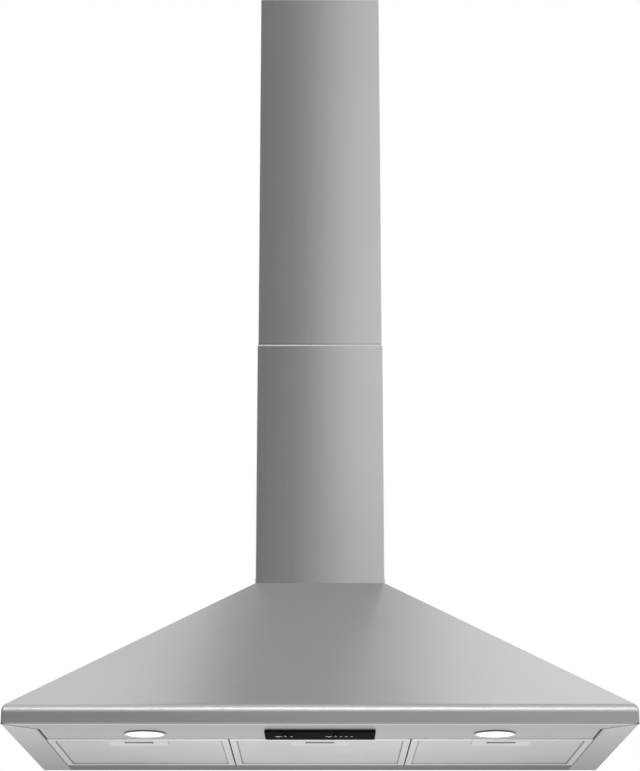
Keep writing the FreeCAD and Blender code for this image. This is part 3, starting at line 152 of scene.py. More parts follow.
# The room that glossy faces mirror. A change runs between two places, which are parts of a direction
# from -1 to 1, and where it has four numbers, the last two are the brightness at them.
RIGHT_WALL = (0.21, 0.46, 1.42, 0.76)
LEFT_TO_RIGHT = (-0.13, 0.18)
LEFT_LEVEL = 0.22
GROUND_FADE = (-0.06, 0.08, 1.0, 0.05)
WALL_START = (0.16, 0.21)
CEILING_START = (0.62, 0.86)
CEILING_LEVEL = 0.74
BACK_WALL = (0.45, 0.80, 1.0, 0.36)
FRONT_TO_BACK = (-0.40, 0.20)

# The studio, and its softboxes: name, place, aim, size, watts, and spread and turn in degrees
SENSOR_WIDTH = 36
VIEW_REACH = 100
FLOOR_RADIUS = 40.0
FLOOR_SIDES = 96
FLOOR_GLOW_SHARE = 0.7
SOFTBOXES = (
    ("rim_strip", (0, -1.50, 0.68), (0, -0.5, 0.02), (2.4, 0.32), 0.31, 16, 0),
    ("left_sky_box", (-0.92, 0.15, 1.1), (-0.92, 0.15, 0), (1.4, 1.2), 1.55, 120, -12),
    ("right_sky_box", (1.13, 0.65, 2.2), (1.13, 0.65, 0), (1.8, 1.8), 7.4, 180, 0),
)


# Settings that a user would change

def colour_setting(name, description, default):
    return FloatVectorProperty(name=name, description=description, subtype="COLOR", size=3, min=0, max=1,
                               default=default)


def length_setting(name, description, low, high, default):
    return FloatProperty(name=name, description=description, unit="LENGTH", min=low, max=high,
                         default=default)


class HoodMetalSettings(bpy.types.PropertyGroup):
    steel_colour: colour_setting(
        "Steel Colour", "Colour of the brushed stainless sheets", (0.60, 0.60, 0.595))
    steel_roughness: FloatProperty(
        name="Steel Roughness", description="Roughness of the brushed stainless sheets",
        subtype="FACTOR", min=0, max=1, default=0.31)
    grain_tone: FloatProperty(
        name="Grain Tone", description="How much the brushed grain varies the colour",
        subtype="FACTOR", min=0, max=1, default=0.15)
    grain_height: length_setting(
        "Grain Height", "Depth of the brushed grain", 0, 0.001, 0.000003)
    cover_bow: FloatProperty(
        name="Cover Bow", description="Slope of the chimney covers' front at its edges, from spring-back",
        subtype="ANGLE", min=0, max=0.3, default=math.radians(8))
    aluminium_colour: colour_setting(
        "Aluminium Colour", "Colour of the filter frames and their mesh", (0.76, 0.76, 0.755))
    zinc_colour: colour_setting(
        "Zinc Colour", "Colour of the galvanised brackets and of the back panel", (0.50, 0.51, 0.52))
    plated_colour: colour_setting(
        "Plated Colour", "Colour of screws, pins, springs and latches", (0.64, 0.64, 0.63))
    mesh_pitch: length_setting(
        "Mesh Pitch", "Distance between the strands of the filter mesh", 0.0005, 0.02, 0.0024)


class HoodControlSettings(bpy.types.PropertyGroup):
    housing_colour: colour_setting(
        "Housing Colour", "Colour of the moulded control housing", (0.012, 0.012, 0.013))
    marking_colour: colour_setting(
        "Marking Colour", "Colour of the printed symbols and dots", (0.95, 0.95, 0.94))
    marking_depth: length_setting(
        "Marking Depth", "How far the print stands off the housing", 0.00001, 0.001, 0.00006)
    symbol_radius: length_setting(
        "Symbol Radius", "Size of the light and fan symbols", 0.001, 0.01, 0.0054)
    dot_radius: length_setting(
        "Dot Radius", "Radius of the dots that mark the positions", 0.0002, 0.004, 0.0019)
    symbol_row: length_setting(
        "Symbol Row", "Distance of the symbols from the hood's front edge", 0.05, 0.2, 0.100)


class HoodLampSettings(bpy.types.PropertyGroup):
    lamp_colour: colour_setting(
        "Lamp Colour", "Colour of the lit lamps", (1.0, 0.985, 0.955))


class HoodStudioSettings(bpy.types.PropertyGroup):
    camera_distance: length_setting(
        "Camera Distance", "Distance of the camera in front of the hood's front edge", 0.5, 20, 3.031)
    camera_height: length_setting(
        "Camera Height", "Height of the camera above the hood's underside", -5, 5, -0.460)
    camera_tilt: FloatProperty(
        name="Camera Tilt", description="How far the camera looks up",
        subtype="ANGLE", min=-1.5, max=1.5, default=math.radians(15.92))
    camera_focal_length: FloatProperty(
        name="Focal Length", description="Focal length on a sensor 36 mm high",
        subtype="DISTANCE_CAMERA", min=10, max=300, default=100.95)
    camera_shift: FloatProperty(
        name="Camera Shift", description="Upward shift of the lens, as a share of the picture's height",
        min=-1, max=1, default=0.08)
    floor_drop: length_setting(
        "Floor Drop", "Distance from the hood's underside to the floor", 0.1, 5, 1.55)
    fill_level: FloatProperty(
        name="Fill Level", description="Brightness of the plain light from all round",
        min=0, max=5, default=0.60)


# Meshes

def finished(obj, body, material, smooth=True):
    """Give a new piece its material and shading, and let it ride on a body of the frame."""
    obj.data.materials.append(material)
    if smooth:
        obj.data.polygons.foreach_set("use_smooth", [True] * len(obj.data.polygons))
    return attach(obj, body)


def piece_from(mesh_form, name):
    """Turn a bmesh into an object of its own."""
    bmesh.ops.recalc_face_normals(mesh_form, faces=mesh_form.faces)
    mesh = bpy.data.meshes.new(name)
    mesh_form.to_mesh(mesh)
    mesh_form.free()
    obj = bpy.data.objects.new(name, mesh)
    bpy.context.scene.collection.objects.link(obj)
    return obj


def middle_x(name):
    low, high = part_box(name)
    return (low.x + high.x) / 2


def joint_reach(name):
    """How far a sliding joint moves."""
    return next(joint for joint in frame["joints"] if joint["name"] == name)["range_m"][1]


def islands(mesh):
    """The points of each closed form in a mesh."""
    form = bmesh.new()
    form.from_mesh(mesh)
    bmesh.ops.remove_doubles(form, verts=form.verts, dist=MERGE_DISTANCE)
    seen = set()
    groups = []
    for start in form.verts:
        if start in seen:
            continue
        seen.add(start)
        group = [start]
        for vert in group:
            for edge in vert.link_edges:
                other = edge.other_vert(vert)
                if other not in seen:
                    seen.add(other)
                    group.append(other)
        groups.append([vert.co.copy() for vert in group])
    form.free()
    return groups


def wall(form, one, other):
    """Faces between two rings of points."""
    for index in range(len(one)):
        after = (index + 1) % len(one)
        form.faces.new((one[index], one[after], other[after], other[index]))


def flat_print(form, points, level, depth):
    """A closed flat shape of the print, from its outline, standing down from a level."""
    lower = [form.verts.new((x, y, level - depth)) for x, y in points]
    upper = [form.verts.new((x, y, level)) for x, y in points]
    form.faces.new(lower)
    form.faces.new(upper[::-1])
    wall(form, upper, lower)


def circle_points(x, y, radius, count=24):
    return [(x + radius * math.cos(2 * math.pi * step / count),
             y + radius * math.sin(2 * math.pi * step / count)) for step in range(count)]


# Node helpers

class Board:
    """A node tree with short ways to place and join its nodes."""

    def __init__(self, tree):
        self.tree = tree

    def add(self, kind, **values):
        node = self.tree.nodes.new(kind)
        for name, value in values.items():
            setattr(node, name, value)
        return node

    def join(self, source, target):
        self.tree.links.new(source, target)

    def feed(self, target, value):
        """Join a socket to a target, or set the target to a plain value."""
        if isinstance(value, bpy.types.NodeSocket):
            self.join(value, target)
        else:
            target.default_value = value

    def parts(self, vector):
        """The three parts of a vector."""
        node = self.add("ShaderNodeSeparateXYZ")
        self.join(vector, node.inputs[0])
        return node.outputs

    def math(self, operation, *values, clamp=False):
        node = self.add("ShaderNodeMath", operation=operation, use_clamp=clamp)
        for index, value in enumerate(values):
            self.feed(node.inputs[index], value)
        return node.outputs[0]

    def plus(self, one, other):
        return self.math("ADD", one, other)

    def minus(self, one, other):
        return self.math("SUBTRACT", one, other)

    def times(self, one, other):
        return self.math("MULTIPLY", one, other)

    def scaled(self, vector, factor):
        """A vector or colour times a number or another vector."""
        node = self.add("ShaderNodeVectorMath", operation="MULTIPLY")
        self.feed(node.inputs[0], vector)
        self.feed(node.inputs[1], factor)
        return node.outputs[0]

    def place(self):
        """Where a point lies on its own piece."""
        return self.add("ShaderNodeTexCoord").outputs["Object"]

    def noise(self, vector, scale, detail=2.0, roughness=0.5):
        node = self.add("ShaderNodeTexNoise")
        self.feed(node.inputs["Vector"], vector)
        self.feed(node.inputs["Scale"], scale)
        node.inputs["Detail"].default_value = detail
        node.inputs["Roughness"].default_value = roughness
        return node.outputs["Fac"]

    def ranged(self, value, low, high, to_low=0.0, to_high=1.0, smooth=False):
        """A value moved from the range low to high onto the range to_low to to_high."""
        kind = "SMOOTHSTEP" if smooth else "LINEAR"
        node = self.add("ShaderNodeMapRange", interpolation_type=kind)
        for index, item in enumerate((value, low, high, to_low, to_high)):
            self.feed(node.inputs[index], item)
        return node.outputs[0]

    def mixed(self, factor, one, other):
        node = self.add("ShaderNodeMix", data_type="RGBA")
        self.feed(node.inputs[0], factor)
        self.feed(node.inputs[6], one)
        self.feed(node.inputs[7], other)
        return node.outputs[2]

    def effect(self, name, **values):
        """One of the shared node groups, with values for its inputs."""
        node = self.add("ShaderNodeGroup", node_tree=effect_group(name))
        for name, value in values.items():
            self.feed(node.inputs[name.replace("_", " ").title()], value)
        return node.outputs


def shader_group(name, inputs, outputs):
    """An empty shader node group with named inputs and outputs."""
    tree = bpy.data.node_groups.new(name, "ShaderNodeTree")
    for label, kind, value in inputs:
        socket = tree.interface.new_socket(name=label, in_out="INPUT", socket_type=kind)
        socket.default_value = value
    for label, kind in outputs:
        tree.interface.new_socket(name=label, in_out="OUTPUT", socket_type=kind)
    board = Board(tree)
    return tree, board, board.add("NodeGroupInput").outputs, board.add("NodeGroupOutput").inputs


FLOAT = "NodeSocketFloat"
COLOUR = "NodeSocketColor"
VECTOR = "NodeSocketVector"
SURFACE = [("Color", COLOUR), ("Roughness", FLOAT), ("Height", FLOAT)]


# Effects shared by several materials, each built once

def build_brushed_grain():
    """Fine and coarse streaks along one direction, with the soft clouds of rolled sheet."""
    tree, board, given, result = shader_group(
        "Brushed Grain",
        [("Streaks", VECTOR, (30.0, 3000.0, 3000.0)), ("Tone", COLOUR, (0.6, 0.6, 0.6, 1)),
         ("Depth", FLOAT, 0.1), ("Roughness", FLOAT, 0.3), ("Spread", FLOAT, 0.08),
         ("Height", FLOAT, 0.000002)],
        SURFACE)
    place = board.place()
    run = board.scaled(place, given["Streaks"])
    fine = board.noise(run, 1.0, 3.0, 0.6)
    coarse = board.noise(run, 0.23)
    broad = board.noise(run, 0.05)
    clouds = board.noise(place, 7.0)
    streak = board.plus(board.times(fine, 0.45), board.times(coarse, 0.40))
    streak = board.plus(streak, board.times(broad, 0.15))
    swing = board.minus(streak, 0.5)
    tone = board.plus(board.times(swing, given["Depth"]),
                      board.times(board.minus(clouds, 0.5), board.times(given["Depth"], 0.35)))
    board.join(board.scaled(given["Tone"], board.plus(tone, 1.0)), result["Color"])
    rough = board.times(swing, given["Spread"])
    board.join(board.math("ADD", given["Roughness"], rough, clamp=True), result["Roughness"])
    board.join(board.times(streak, given["Height"]), result["Height"])
    return tree


def build_wall_shade():
    """Share of the colour that is left on the underside, less and less towards the wall."""
    tree, board, given, result = shader_group(
        "Wall Shade",
        [("Front", FLOAT, -0.5), ("Rear", FLOAT, 0.0), ("Front Share", FLOAT, 1.0),
         ("Rear Share", FLOAT, 0.6), ("Side Share", FLOAT, 0.9)],
        [("Share", FLOAT)])
    x, y = board.parts(board.place())[:2]
    deep = board.ranged(y, given["Front"], given["Rear"], given["Front Share"], given["Rear Share"])
    wide = board.ranged(board.math("ABSOLUTE", x), SHADE_START, SHADE_END, 1.0, given["Side Share"],
                        smooth=True)
    patch = board.ranged(board.noise(board.place(), 5.0, 3.0), 0.3, 0.7, 0.98, 1.02)
    board.join(board.times(board.times(deep, wide), patch), result["Share"])
    return tree


def build_edge_line():
    """Share of the colour along a line on a sheet: under 1 for a dark joint or painted shade, over 1 for a
    painted highlight.

    The line is where Across * |x - Centre| + Along * y + Up * z is the Offset, from the Reach outward.
    """
    tree, board, given, result = shader_group(
        "Edge Line",
        [("Centre", FLOAT, 0.0), ("Across", FLOAT, 0.0), ("Along", FLOAT, 0.0), ("Up", FLOAT, 0.0),
         ("Offset", FLOAT, 0.0), ("Half Width", FLOAT, 0.001), ("Reach", FLOAT, 0.0),
         ("Line Share", FLOAT, 0.5)],
        [("Share", FLOAT)])
    x, y, z = board.parts(board.place())
    across = board.math("ABSOLUTE", board.minus(x, given["Centre"]))
    total = board.times(across, given["Across"])
    total = board.plus(total, board.times(y, given["Along"]))
    total = board.plus(total, board.times(z, given["Up"]))
    far = board.math("ABSOLUTE", board.minus(total, given["Offset"]))
    near = board.math("SUBTRACT", 1.0, board.math("DIVIDE", far, given["Half Width"]), clamp=True)
    outside = board.math("GREATER_THAN", across, given["Reach"])
    near = board.times(board.ranged(near, 0.0, 0.45, smooth=True), outside)
    gain = board.minus(given["Line Share"], 1.0)
    board.join(board.plus(1.0, board.times(near, gain)), result["Share"])
    return tree


def build_sheet_bow():
    """Height of a wide flat sheet that stands out a little in its middle."""
    tree, board, given, result = shader_group(
        "Sheet Bow", [("Half Width", FLOAT, 0.1), ("Edge Slope", FLOAT, 0.1)], [("Height", FLOAT)])
    share = board.math("DIVIDE", board.parts(board.place())["X"], given["Half Width"])
    fall = board.times(given["Half Width"], board.times(given["Edge Slope"], -0.5))
    board.join(board.times(board.times(share, share), fall), result["Height"])
    return tree


def build_zinc_spangle():
    """Crystal patches of galvanised sheet."""
    tree, board, given, result = shader_group(
        "Zinc Spangle",
        [("Scale", FLOAT, 120.0), ("Tone", COLOUR, (0.5, 0.5, 0.5, 1)), ("Roughness", FLOAT, 0.4)],
        SURFACE)
    place = board.place()
    cells = board.add("ShaderNodeTexVoronoi", feature="F1")
    board.join(place, cells.inputs["Vector"])
    board.join(given["Scale"], cells.inputs["Scale"])
    shade = board.math("FRACT", board.times(cells.outputs["Color"], 3.0))
    board.join(board.scaled(given["Tone"], board.ranged(shade, 0.0, 1.0, 0.84, 1.12)), result["Color"])
    rough = board.ranged(shade, 0.0, 1.0, -0.06, 0.10)
    board.join(board.plus(given["Roughness"], rough), result["Roughness"])
    board.join(board.times(cells.outputs["Distance"], 0.00002), result["Height"])
    return tree


def build_filter_weave():
    """Fine diamond openings between the strands of expanded metal."""
    tree, board, given, result = shader_group(
        "Filter Weave",
        [("Pitch", FLOAT, 0.0024), ("Tone", COLOUR, (0.66, 0.66, 0.65, 1)), ("Opening Tone", FLOAT, 0.86)],
        [("Color", COLOUR), ("Height", FLOAT)])
    x, y = board.parts(board.place())[:2]
    across = board.math("DIVIDE", x, given["Pitch"])
    along = board.math("DIVIDE", y, board.times(given["Pitch"], 0.55))
    waves = []
    for way in ("ADD", "SUBTRACT"):
        turn = board.times(board.math(way, across, along), math.pi / 2)
        waves.append(board.math("ABSOLUTE", board.math("SINE", turn)))
    hole = board.ranged(board.math("MINIMUM", *waves), 0.30, 0.60, smooth=True)
    factor = board.ranged(hole, 0.0, 1.0, 1.0, given["Opening Tone"])
    wear = board.ranged(board.noise(board.place(), 9.0), 0.3, 0.7, 0.96, 1.04)
    board.join(board.scaled(given["Tone"], board.times(factor, wear)), result["Color"])
    strand = board.minus(1.0, hole)
    board.join(board.times(strand, board.times(given["Pitch"], 0.05)), result["Height"])
    return tree


def build_moulded_grain():
    """Spark-eroded texture of moulded plastic, with a soft change of gloss."""
    tree, board, given, result = shader_group(
        "Moulded Grain",
        [("Scale", FLOAT, 1800.0), ("Tone", COLOUR, (0.02, 0.02, 0.02, 1)), ("Roughness", FLOAT, 0.45),
         ("Height", FLOAT, 0.00002)],
        SURFACE)
    place = board.place()
    grain = board.noise(place, given["Scale"], 3.0, 0.6)
    patch = board.noise(place, 14.0)
    board.join(board.scaled(given["Tone"], board.ranged(grain, 0.3, 0.7, 0.88, 1.12)), result["Color"])
    rough = board.ranged(patch, 0.3, 0.7, -0.05, 0.05)
    board.join(board.plus(given["Roughness"], rough), result["Roughness"])
    board.join(board.times(grain, given["Height"]), result["Height"])
    return tree


def build_settled_dust():
    """Mask of thin dust on faces that look up."""
    tree, board, given, result = shader_group(
        "Settled Dust", [("Amount", FLOAT, 0.4)], [("Mask", FLOAT)])
    normal = board.add("ShaderNodeNewGeometry").outputs["Normal"]
    level = board.ranged(board.parts(normal)["Z"], 0.85, 1.0)
    patch = board.ranged(board.noise(board.place(), 30.0, 4.0, 0.6), 0.35, 0.75)
    board.join(board.times(board.times(level, patch), given["Amount"]), result["Mask"])
    return tree


MAKERS = {
    "grain": build_brushed_grain,
    "shade": build_wall_shade,
    "line": build_edge_line,
    "bow": build_sheet_bow,
    "spangle": build_zinc_spangle,
    "weave": build_filter_weave,
    "moulded": build_moulded_grain,
    "dust": build_settled_dust,
}
EFFECTS = {}


def effect_group(name):
    """A shared node group, built the first time that it is asked for."""
    if name not in EFFECTS:
        EFFECTS[name] = MAKERS[name]()
    return EFFECTS[name]


# Materials

def new_finish(name, **plain):
    """A material with a Principled shader whose constants are set on its own sockets."""
    material = bpy.data.materials.new(name)
    material.use_nodes = True
    board = Board(material.node_tree)
    shader = material.node_tree.nodes["Principled BSDF"]
    for label, value in plain.items():
        shader.inputs[label.replace("_", " ").title().replace("Ior", "IOR")].default_value = value
    return material, board, shader


def bump(board, shader, height):
    node = board.add("ShaderNodeBump")
    node.inputs["Strength"].default_value = 1.0
    node.inputs["Distance"].default_value = 1.0
    board.join(height, node.inputs["Height"])
    board.join(node.outputs["Normal"], shader.inputs["Normal"])


def shaded(board, colour, shade):
    """A colour darkened towards the wall: front and rear place, front, rear and side share."""
    front, rear, front_share, rear_share, side_share = shade
    share = board.effect("shade", front=front, rear=rear, front_share=front_share,
                         rear_share=rear_share, side_share=side_share)["Share"]
    return board.scaled(colour, share)


def lined(board, colour, lines):
    """A colour with darker or brighter lines, each given as the values of the Edge Line group."""
    for line in lines:
        colour = board.scaled(colour, board.effect("line", **line)["Share"])
    return colour


def brushed_metal(name, tone, streaks, roughness, depth, height, dust=0.0, bow=None, shade=None,
                  lines=(), bends=(), **plain):
    """Brushed sheet whose grain runs along the axis with the lowest streak count.

    A bow is the half width of the sheet and the slope at its edges. Bends are rougher lines.
    """
    material, board, shader = new_finish(name, metallic=1.0, **plain)
    grain = board.effect("grain", streaks=streaks, tone=(*tone, 1), depth=depth,
                         roughness=roughness, spread=ROUGHNESS_SPREAD, height=height)
    colour = shaded(board, grain["Color"], shade) if shade else grain["Color"]
    colour = lined(board, colour, lines)
    rough = grain["Roughness"]
    for bend in bends:
        rough = board.times(rough, board.effect("line", **bend)["Share"])
    if dust:
        mask = board.effect("dust", amount=dust)["Mask"]
        board.join(board.mixed(mask, colour, DUST_TONE), shader.inputs["Base Color"])
        board.join(board.math("MAXIMUM", rough, mask), shader.inputs["Roughness"])
    else:
        board.join(colour, shader.inputs["Base Color"])
        board.join(rough, shader.inputs["Roughness"])
    relief = grain["Height"]
    if bow:
        curve = board.effect("bow", half_width=bow[0], edge_slope=bow[1])["Height"]
        relief = board.plus(relief, curve)
    bump(board, shader, relief)
    return material


def patterned(name, pattern, plain, **values):
    """A material whose colour, roughness and relief come from one of the effects."""
    material, board, shader = new_finish(name, **plain)
    given = board.effect(pattern, **values)
    board.join(given["Color"], shader.inputs["Base Color"])
    board.join(given["Roughness"], shader.inputs["Roughness"])
    bump(board, shader, given["Height"])
    return material


def zinc_sheet(name, tone, scale):
    """Galvanised sheet, from its tone and the number of its crystals to a metre."""
    return patterned(name, "spangle", {"metallic": 1.0}, scale=scale, tone=(*tone, 1),
                     roughness=ZINC_ROUGHNESS)


def moulded_plastic(name, tone, roughness, scale=1800.0, height=0.00002, **plain):
    """Moulded plastic, from its tone, its roughness, and the scale and height of its grain."""
    return patterned(name, "moulded", plain, scale=scale, tone=(*tone, 1), roughness=roughness,
                     height=height)


def dress(material, *names):
    """Put a material on CAD nodes through their material slots."""
    for name in names:
        slots = NODES[name].material_slots
        if slots:
            for slot in slots:
                slot.material = material
        else:
            NODES[name].data.materials.append(material)


# Streaks of the brushed grain to a metre, along each axis
ALONG_X = (22.0, 2600.0, 2600.0)
ALONG_Y = (2600.0, 22.0, 2600.0)
ALONG_Z = (2600.0, 2600.0, 22.0)
ROUND = (1400.0, 1400.0, 1400.0)

# Painted shade towards the wall: front and rear place, front, rear and side share
PANEL_SHADE = (-0.5, -0.355, 0.62, 0.70, 0.97)
SIDE_RAIL_SHADE = (-0.48, 0, 0.84, 0.24, 1.0)
REAR_RAIL_SHADE = (-0.072, 0, 0.33, 0.24, 0.64)
# Grey specular tint that darkens the rear rail's reflections: painted shade
REAR_RAIL_SHADE_TINT = (0.62, 0.62, 0.62, 1)
FILTER_SHADE_SHARES = (0.98, 0.74, 0.80)

SHADE_START = 0.05
SHADE_END = 0.45
ROUGHNESS_SPREAD = 0.10
ZINC_ROUGHNESS = 0.42
DUST_TONE = (0.33, 0.32, 0.30, 1)
# Black on the lamp ring's sloping edge: painted shade
RING_SLOPE_SHADE = (0.02, 0.02, 0.02, 1)


def steel(name, streaks, settings, **extra):
    return brushed_metal(name, settings.steel_colour, streaks, settings.steel_roughness,
                         settings.grain_tone, settings.grain_height, **extra)


def round_metal(name, tone, roughness, depth, settings):
    """Turned or pressed metal whose grain has no direction."""
    return brushed_metal(name, tone, ROUND, roughness, depth, settings.grain_height)


def mark(line, start=0.0, **way):
    """The values of an Edge Line at its place from a start along its way over a sheet."""
    place, half_width, line_share = line
    return {"offset": start + place, "half_width": half_width, "line_share": line_share, **way}


class HoodSteelSheets(bpy.types.Operator):
    """Brushed stainless finish of the canopy, its underside panels and the chimney covers"""
    bl_idname = "range_hood.steel_sheets"
    bl_label = "Finish Steel Sheets"

    def execute(self, context):
        metal = context.scene.hood_metal
        self.canopy(metal)
        self.underside(metal)
        self.covers(metal)
        zinc = zinc_sheet("back_panel_zinc", metal.zinc_colour, 90.0)
        dress(zinc, "canopy_back_panel", "chimney_wall_bracket", "lower_cover_clips")
        return {"FINISHED"}

    def canopy(self, metal):
        """The pyramid, with a painted highlight on its rougher lower edge, a band darkened by painted shade
        above it and a softer bend at the top.
        """
        dress(steel("canopy_steel", ALONG_X, metal, dust=0.3,
                    lines=[mark(line, up=1.0) for line in (RIM_EDGE_HIGHLIGHT, RIM_BAND_SHADE)],
                    bends=[mark(line, up=1.0) for line in (RIM_EDGE_WEAR, RIM_BEND_WEAR)]), "canopy_shell")

    def underside(self, metal):
        """The front panel and the rails, with dark joints, painted highlights along the folds and a line of
        painted shade behind the front fold.
        """
        corner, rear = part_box("front_panel")
        inner = min(abs(value.x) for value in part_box("left_side_rail"))
        mitre = self.mitre_line(Vector((abs(corner.x), corner.y)), inner)
        seam = mark(SEAM, inner, across=1.0)
        folds = [mark(line, start, along=1.0) for line, start in
                 ((FRONT_FOLD_HIGHLIGHT, corner.y), (PANEL_CREASE_SHADE, corner.y), (REAR_HEM_HIGHLIGHT, rear.y))]
        dress(steel("panel_steel", ALONG_X, metal, shade=PANEL_SHADE, lines=[mitre, *folds]),
              "front_panel")
        dress(steel("rear_rail_steel", ALONG_X, metal, shade=REAR_RAIL_SHADE,
                    specular_tint=REAR_RAIL_SHADE_TINT), "rear_rail")
        dress(steel("side_rail_steel", ALONG_Y, metal, shade=SIDE_RAIL_SHADE, lines=[mitre, seam]),
              "left_side_rail", "right_side_rail")

    def mitre_line(self, corner, inner):
        """The joint of the front panel and a side rail, from the front corner to the rail's inner edge."""
        run = Vector((inner - corner.x, MITRE_DEPTH)).normalized()
        square = Vector((run.y, -run.x))
        return mark(MITRE, square.dot(corner), across=square.x, along=square.y,
                    reach=inner - MITRE_OVERRUN)

    def covers(self, metal):
        """The chimney covers, bowed across, with a painted highlight on the rougher top edge of the lower
        one, where the upper one comes out, and painted shadow on the upper one just above it.
        """
        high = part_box("lower_chimney_cover")[1]
        bow = (high.x, math.tan(metal.cover_bow))
        edge, wear, shade = [mark(line, high.z, up=1.0)
                             for line in (COVER_EDGE_HIGHLIGHT, COVER_EDGE_WEAR, COVER_SHADE)]
        dress(steel("lower_cover_steel", ALONG_Z, metal, bow=bow, lines=[edge], bends=[wear]),
              "lower_chimney_cover")
        dress(steel("upper_cover_steel", ALONG_Z, metal, bow=bow, lines=[shade]), "upper_chimney_cover")


class HoodGreaseFilters(bpy.types.Operator):
    """Aluminium frames, fine expanded mesh, pulls, latches and springs of the three filters"""
    bl_idname = "range_hood.grease_filters"
    bl_label = "Finish Grease Filters"

    def execute(self, context):
        metal = context.scene.hood_metal
        low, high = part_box("middle_filter_frame")
        filter_shade = (low.y, high.y, *FILTER_SHADE_SHARES)
        starts = (low.y + FRAME_FRONT_PLACE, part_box("middle_filter_mesh")[1].y)
        lines = [mark(FRAME_EDGE_HIGHLIGHT, start, along=1.0) for start in starts]
        bends = [mark(FRAME_EDGE_WEAR, start, along=1.0) for start in starts]
        frame_finish = brushed_metal("filter_frame_aluminium", metal.aluminium_colour, ALONG_X, 0.36, 0.05,
                                     metal.grain_height, shade=filter_shade, lines=lines, bends=bends)
        pull_finish = round_metal("filter_pull_satin", (0.70, 0.70, 0.69), 0.34, 0.03, metal)
        latch_finish = brushed_metal("latch_steel", metal.plated_colour, ALONG_Y, 0.25, 0.05,
                                     metal.grain_height)
        for side in FILTERS:
            dress(frame_finish, f"{side}_filter_frame")
            dress(self.weave(side, metal, filter_shade), f"{side}_filter_mesh")
            dress(pull_finish, f"{side}_filter_handle")
            dress(latch_finish, f"{side}_filter_latch")
            self.spring(side, latch_finish)
        return {"FINISHED"}

    def spring(self, side, material):
        """The folded strip behind a latch, copied from its CAD node to ride with the filter."""
        node = f"{side}_latch_spring"
        strip = bpy.data.objects.new(f"{side}_spring_strip", NODES[node].data.copy())
        strip.data.materials.clear()
        bpy.context.scene.collection.objects.link(strip)
        finished(strip, f"{side}_filter", material, smooth=False)
        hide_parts(node)
        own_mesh(strip)

    def weave(self, side, metal, filter_shade):
        """The mesh of one filter, with painted shade along the sides of its frame's opening."""
        low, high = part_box(f"{side}_filter_frame")
        edge = mark(MESH_SIDE_SHADE, (high.x - low.x) / 2, centre=middle_x(f"{side}_filter_frame"), across=1.0)
        material, board, shader = new_finish(f"{side}_mesh_weave", metallic=1.0, roughness=0.40)
        weave = board.effect("weave", pitch=metal.mesh_pitch, tone=(*metal.aluminium_colour, 1))
        colour = lined(board, shaded(board, weave["Color"], filter_shade), [edge])
        board.join(colour, shader.inputs["Base Color"])
        bump(board, shader, weave["Height"])
        return material


class HoodLamps(bpy.types.Operator):
    """Trim rings, lit frosted lenses, cans and leaf springs of the two lamps"""
    bl_idname = "range_hood.lamps"
    bl_label = "Finish Lamps"

    def execute(self, context):
        metal = context.scene.hood_metal
        lamp = context.scene.hood_lamp
        ring_finish = self.ring(metal)
        can_finish = moulded_plastic("lamp_can_enamel", (0.22, 0.22, 0.23), 0.45)
        lens_finish, board, shader = new_finish("lamp_lens_lit", roughness=0.35, emission_strength=1.6)
        frost = board.noise(board.place(), 900.0)
        glow = board.mixed(board.ranged(frost, 0.3, 0.7), (*[c * 0.94 for c in lamp.lamp_colour], 1),
                           (*lamp.lamp_colour, 1))
        board.join(glow, shader.inputs["Emission Color"])
        board.join(glow, shader.inputs["Base Color"])
        bump(board, shader, board.times(frost, 0.00002))
        for side in SIDES:
            dress(ring_finish, f"{side}_lamp_ring")
            dress(lens_finish, f"{side}_lamp_lens")
            dress(can_finish, f"{side}_lamp_housing")
        dress(zinc_sheet("lamp_clip_steel", metal.plated_colour, 400.0), "lamp_clips")
        return {"FINISHED"}

    def ring(self, metal):
        """Satin trim ring whose sloping edge is black with painted shade."""
        material = round_metal("lamp_ring_satin", (0.72, 0.72, 0.71), 0.22, 0.03, metal)
        board = Board(material.node_tree)
        shader = material.node_tree.nodes["Principled BSDF"]
        low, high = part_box("right_lamp_ring")
        x, y = board.parts(board.place())[:2]
        across = board.minus(board.math("ABSOLUTE", x), (low.x + high.x) / 2)
        along = board.minus(y, (low.y + high.y) / 2)
        square = board.plus(board.times(across, across), board.times(along, along))
        outside = board.ranged(board.math("SQRT", square), LAMP_FACE_RADIUS,
                               LAMP_FACE_RADIUS + LAMP_EDGE_BLEND)
        target = shader.inputs["Base Color"]
        board.join(board.mixed(outside, target.links[0].from_socket, RING_SLOPE_SHADE), target)
        board.join(board.minus(1.0, outside), shader.inputs["Metallic"])
        return material


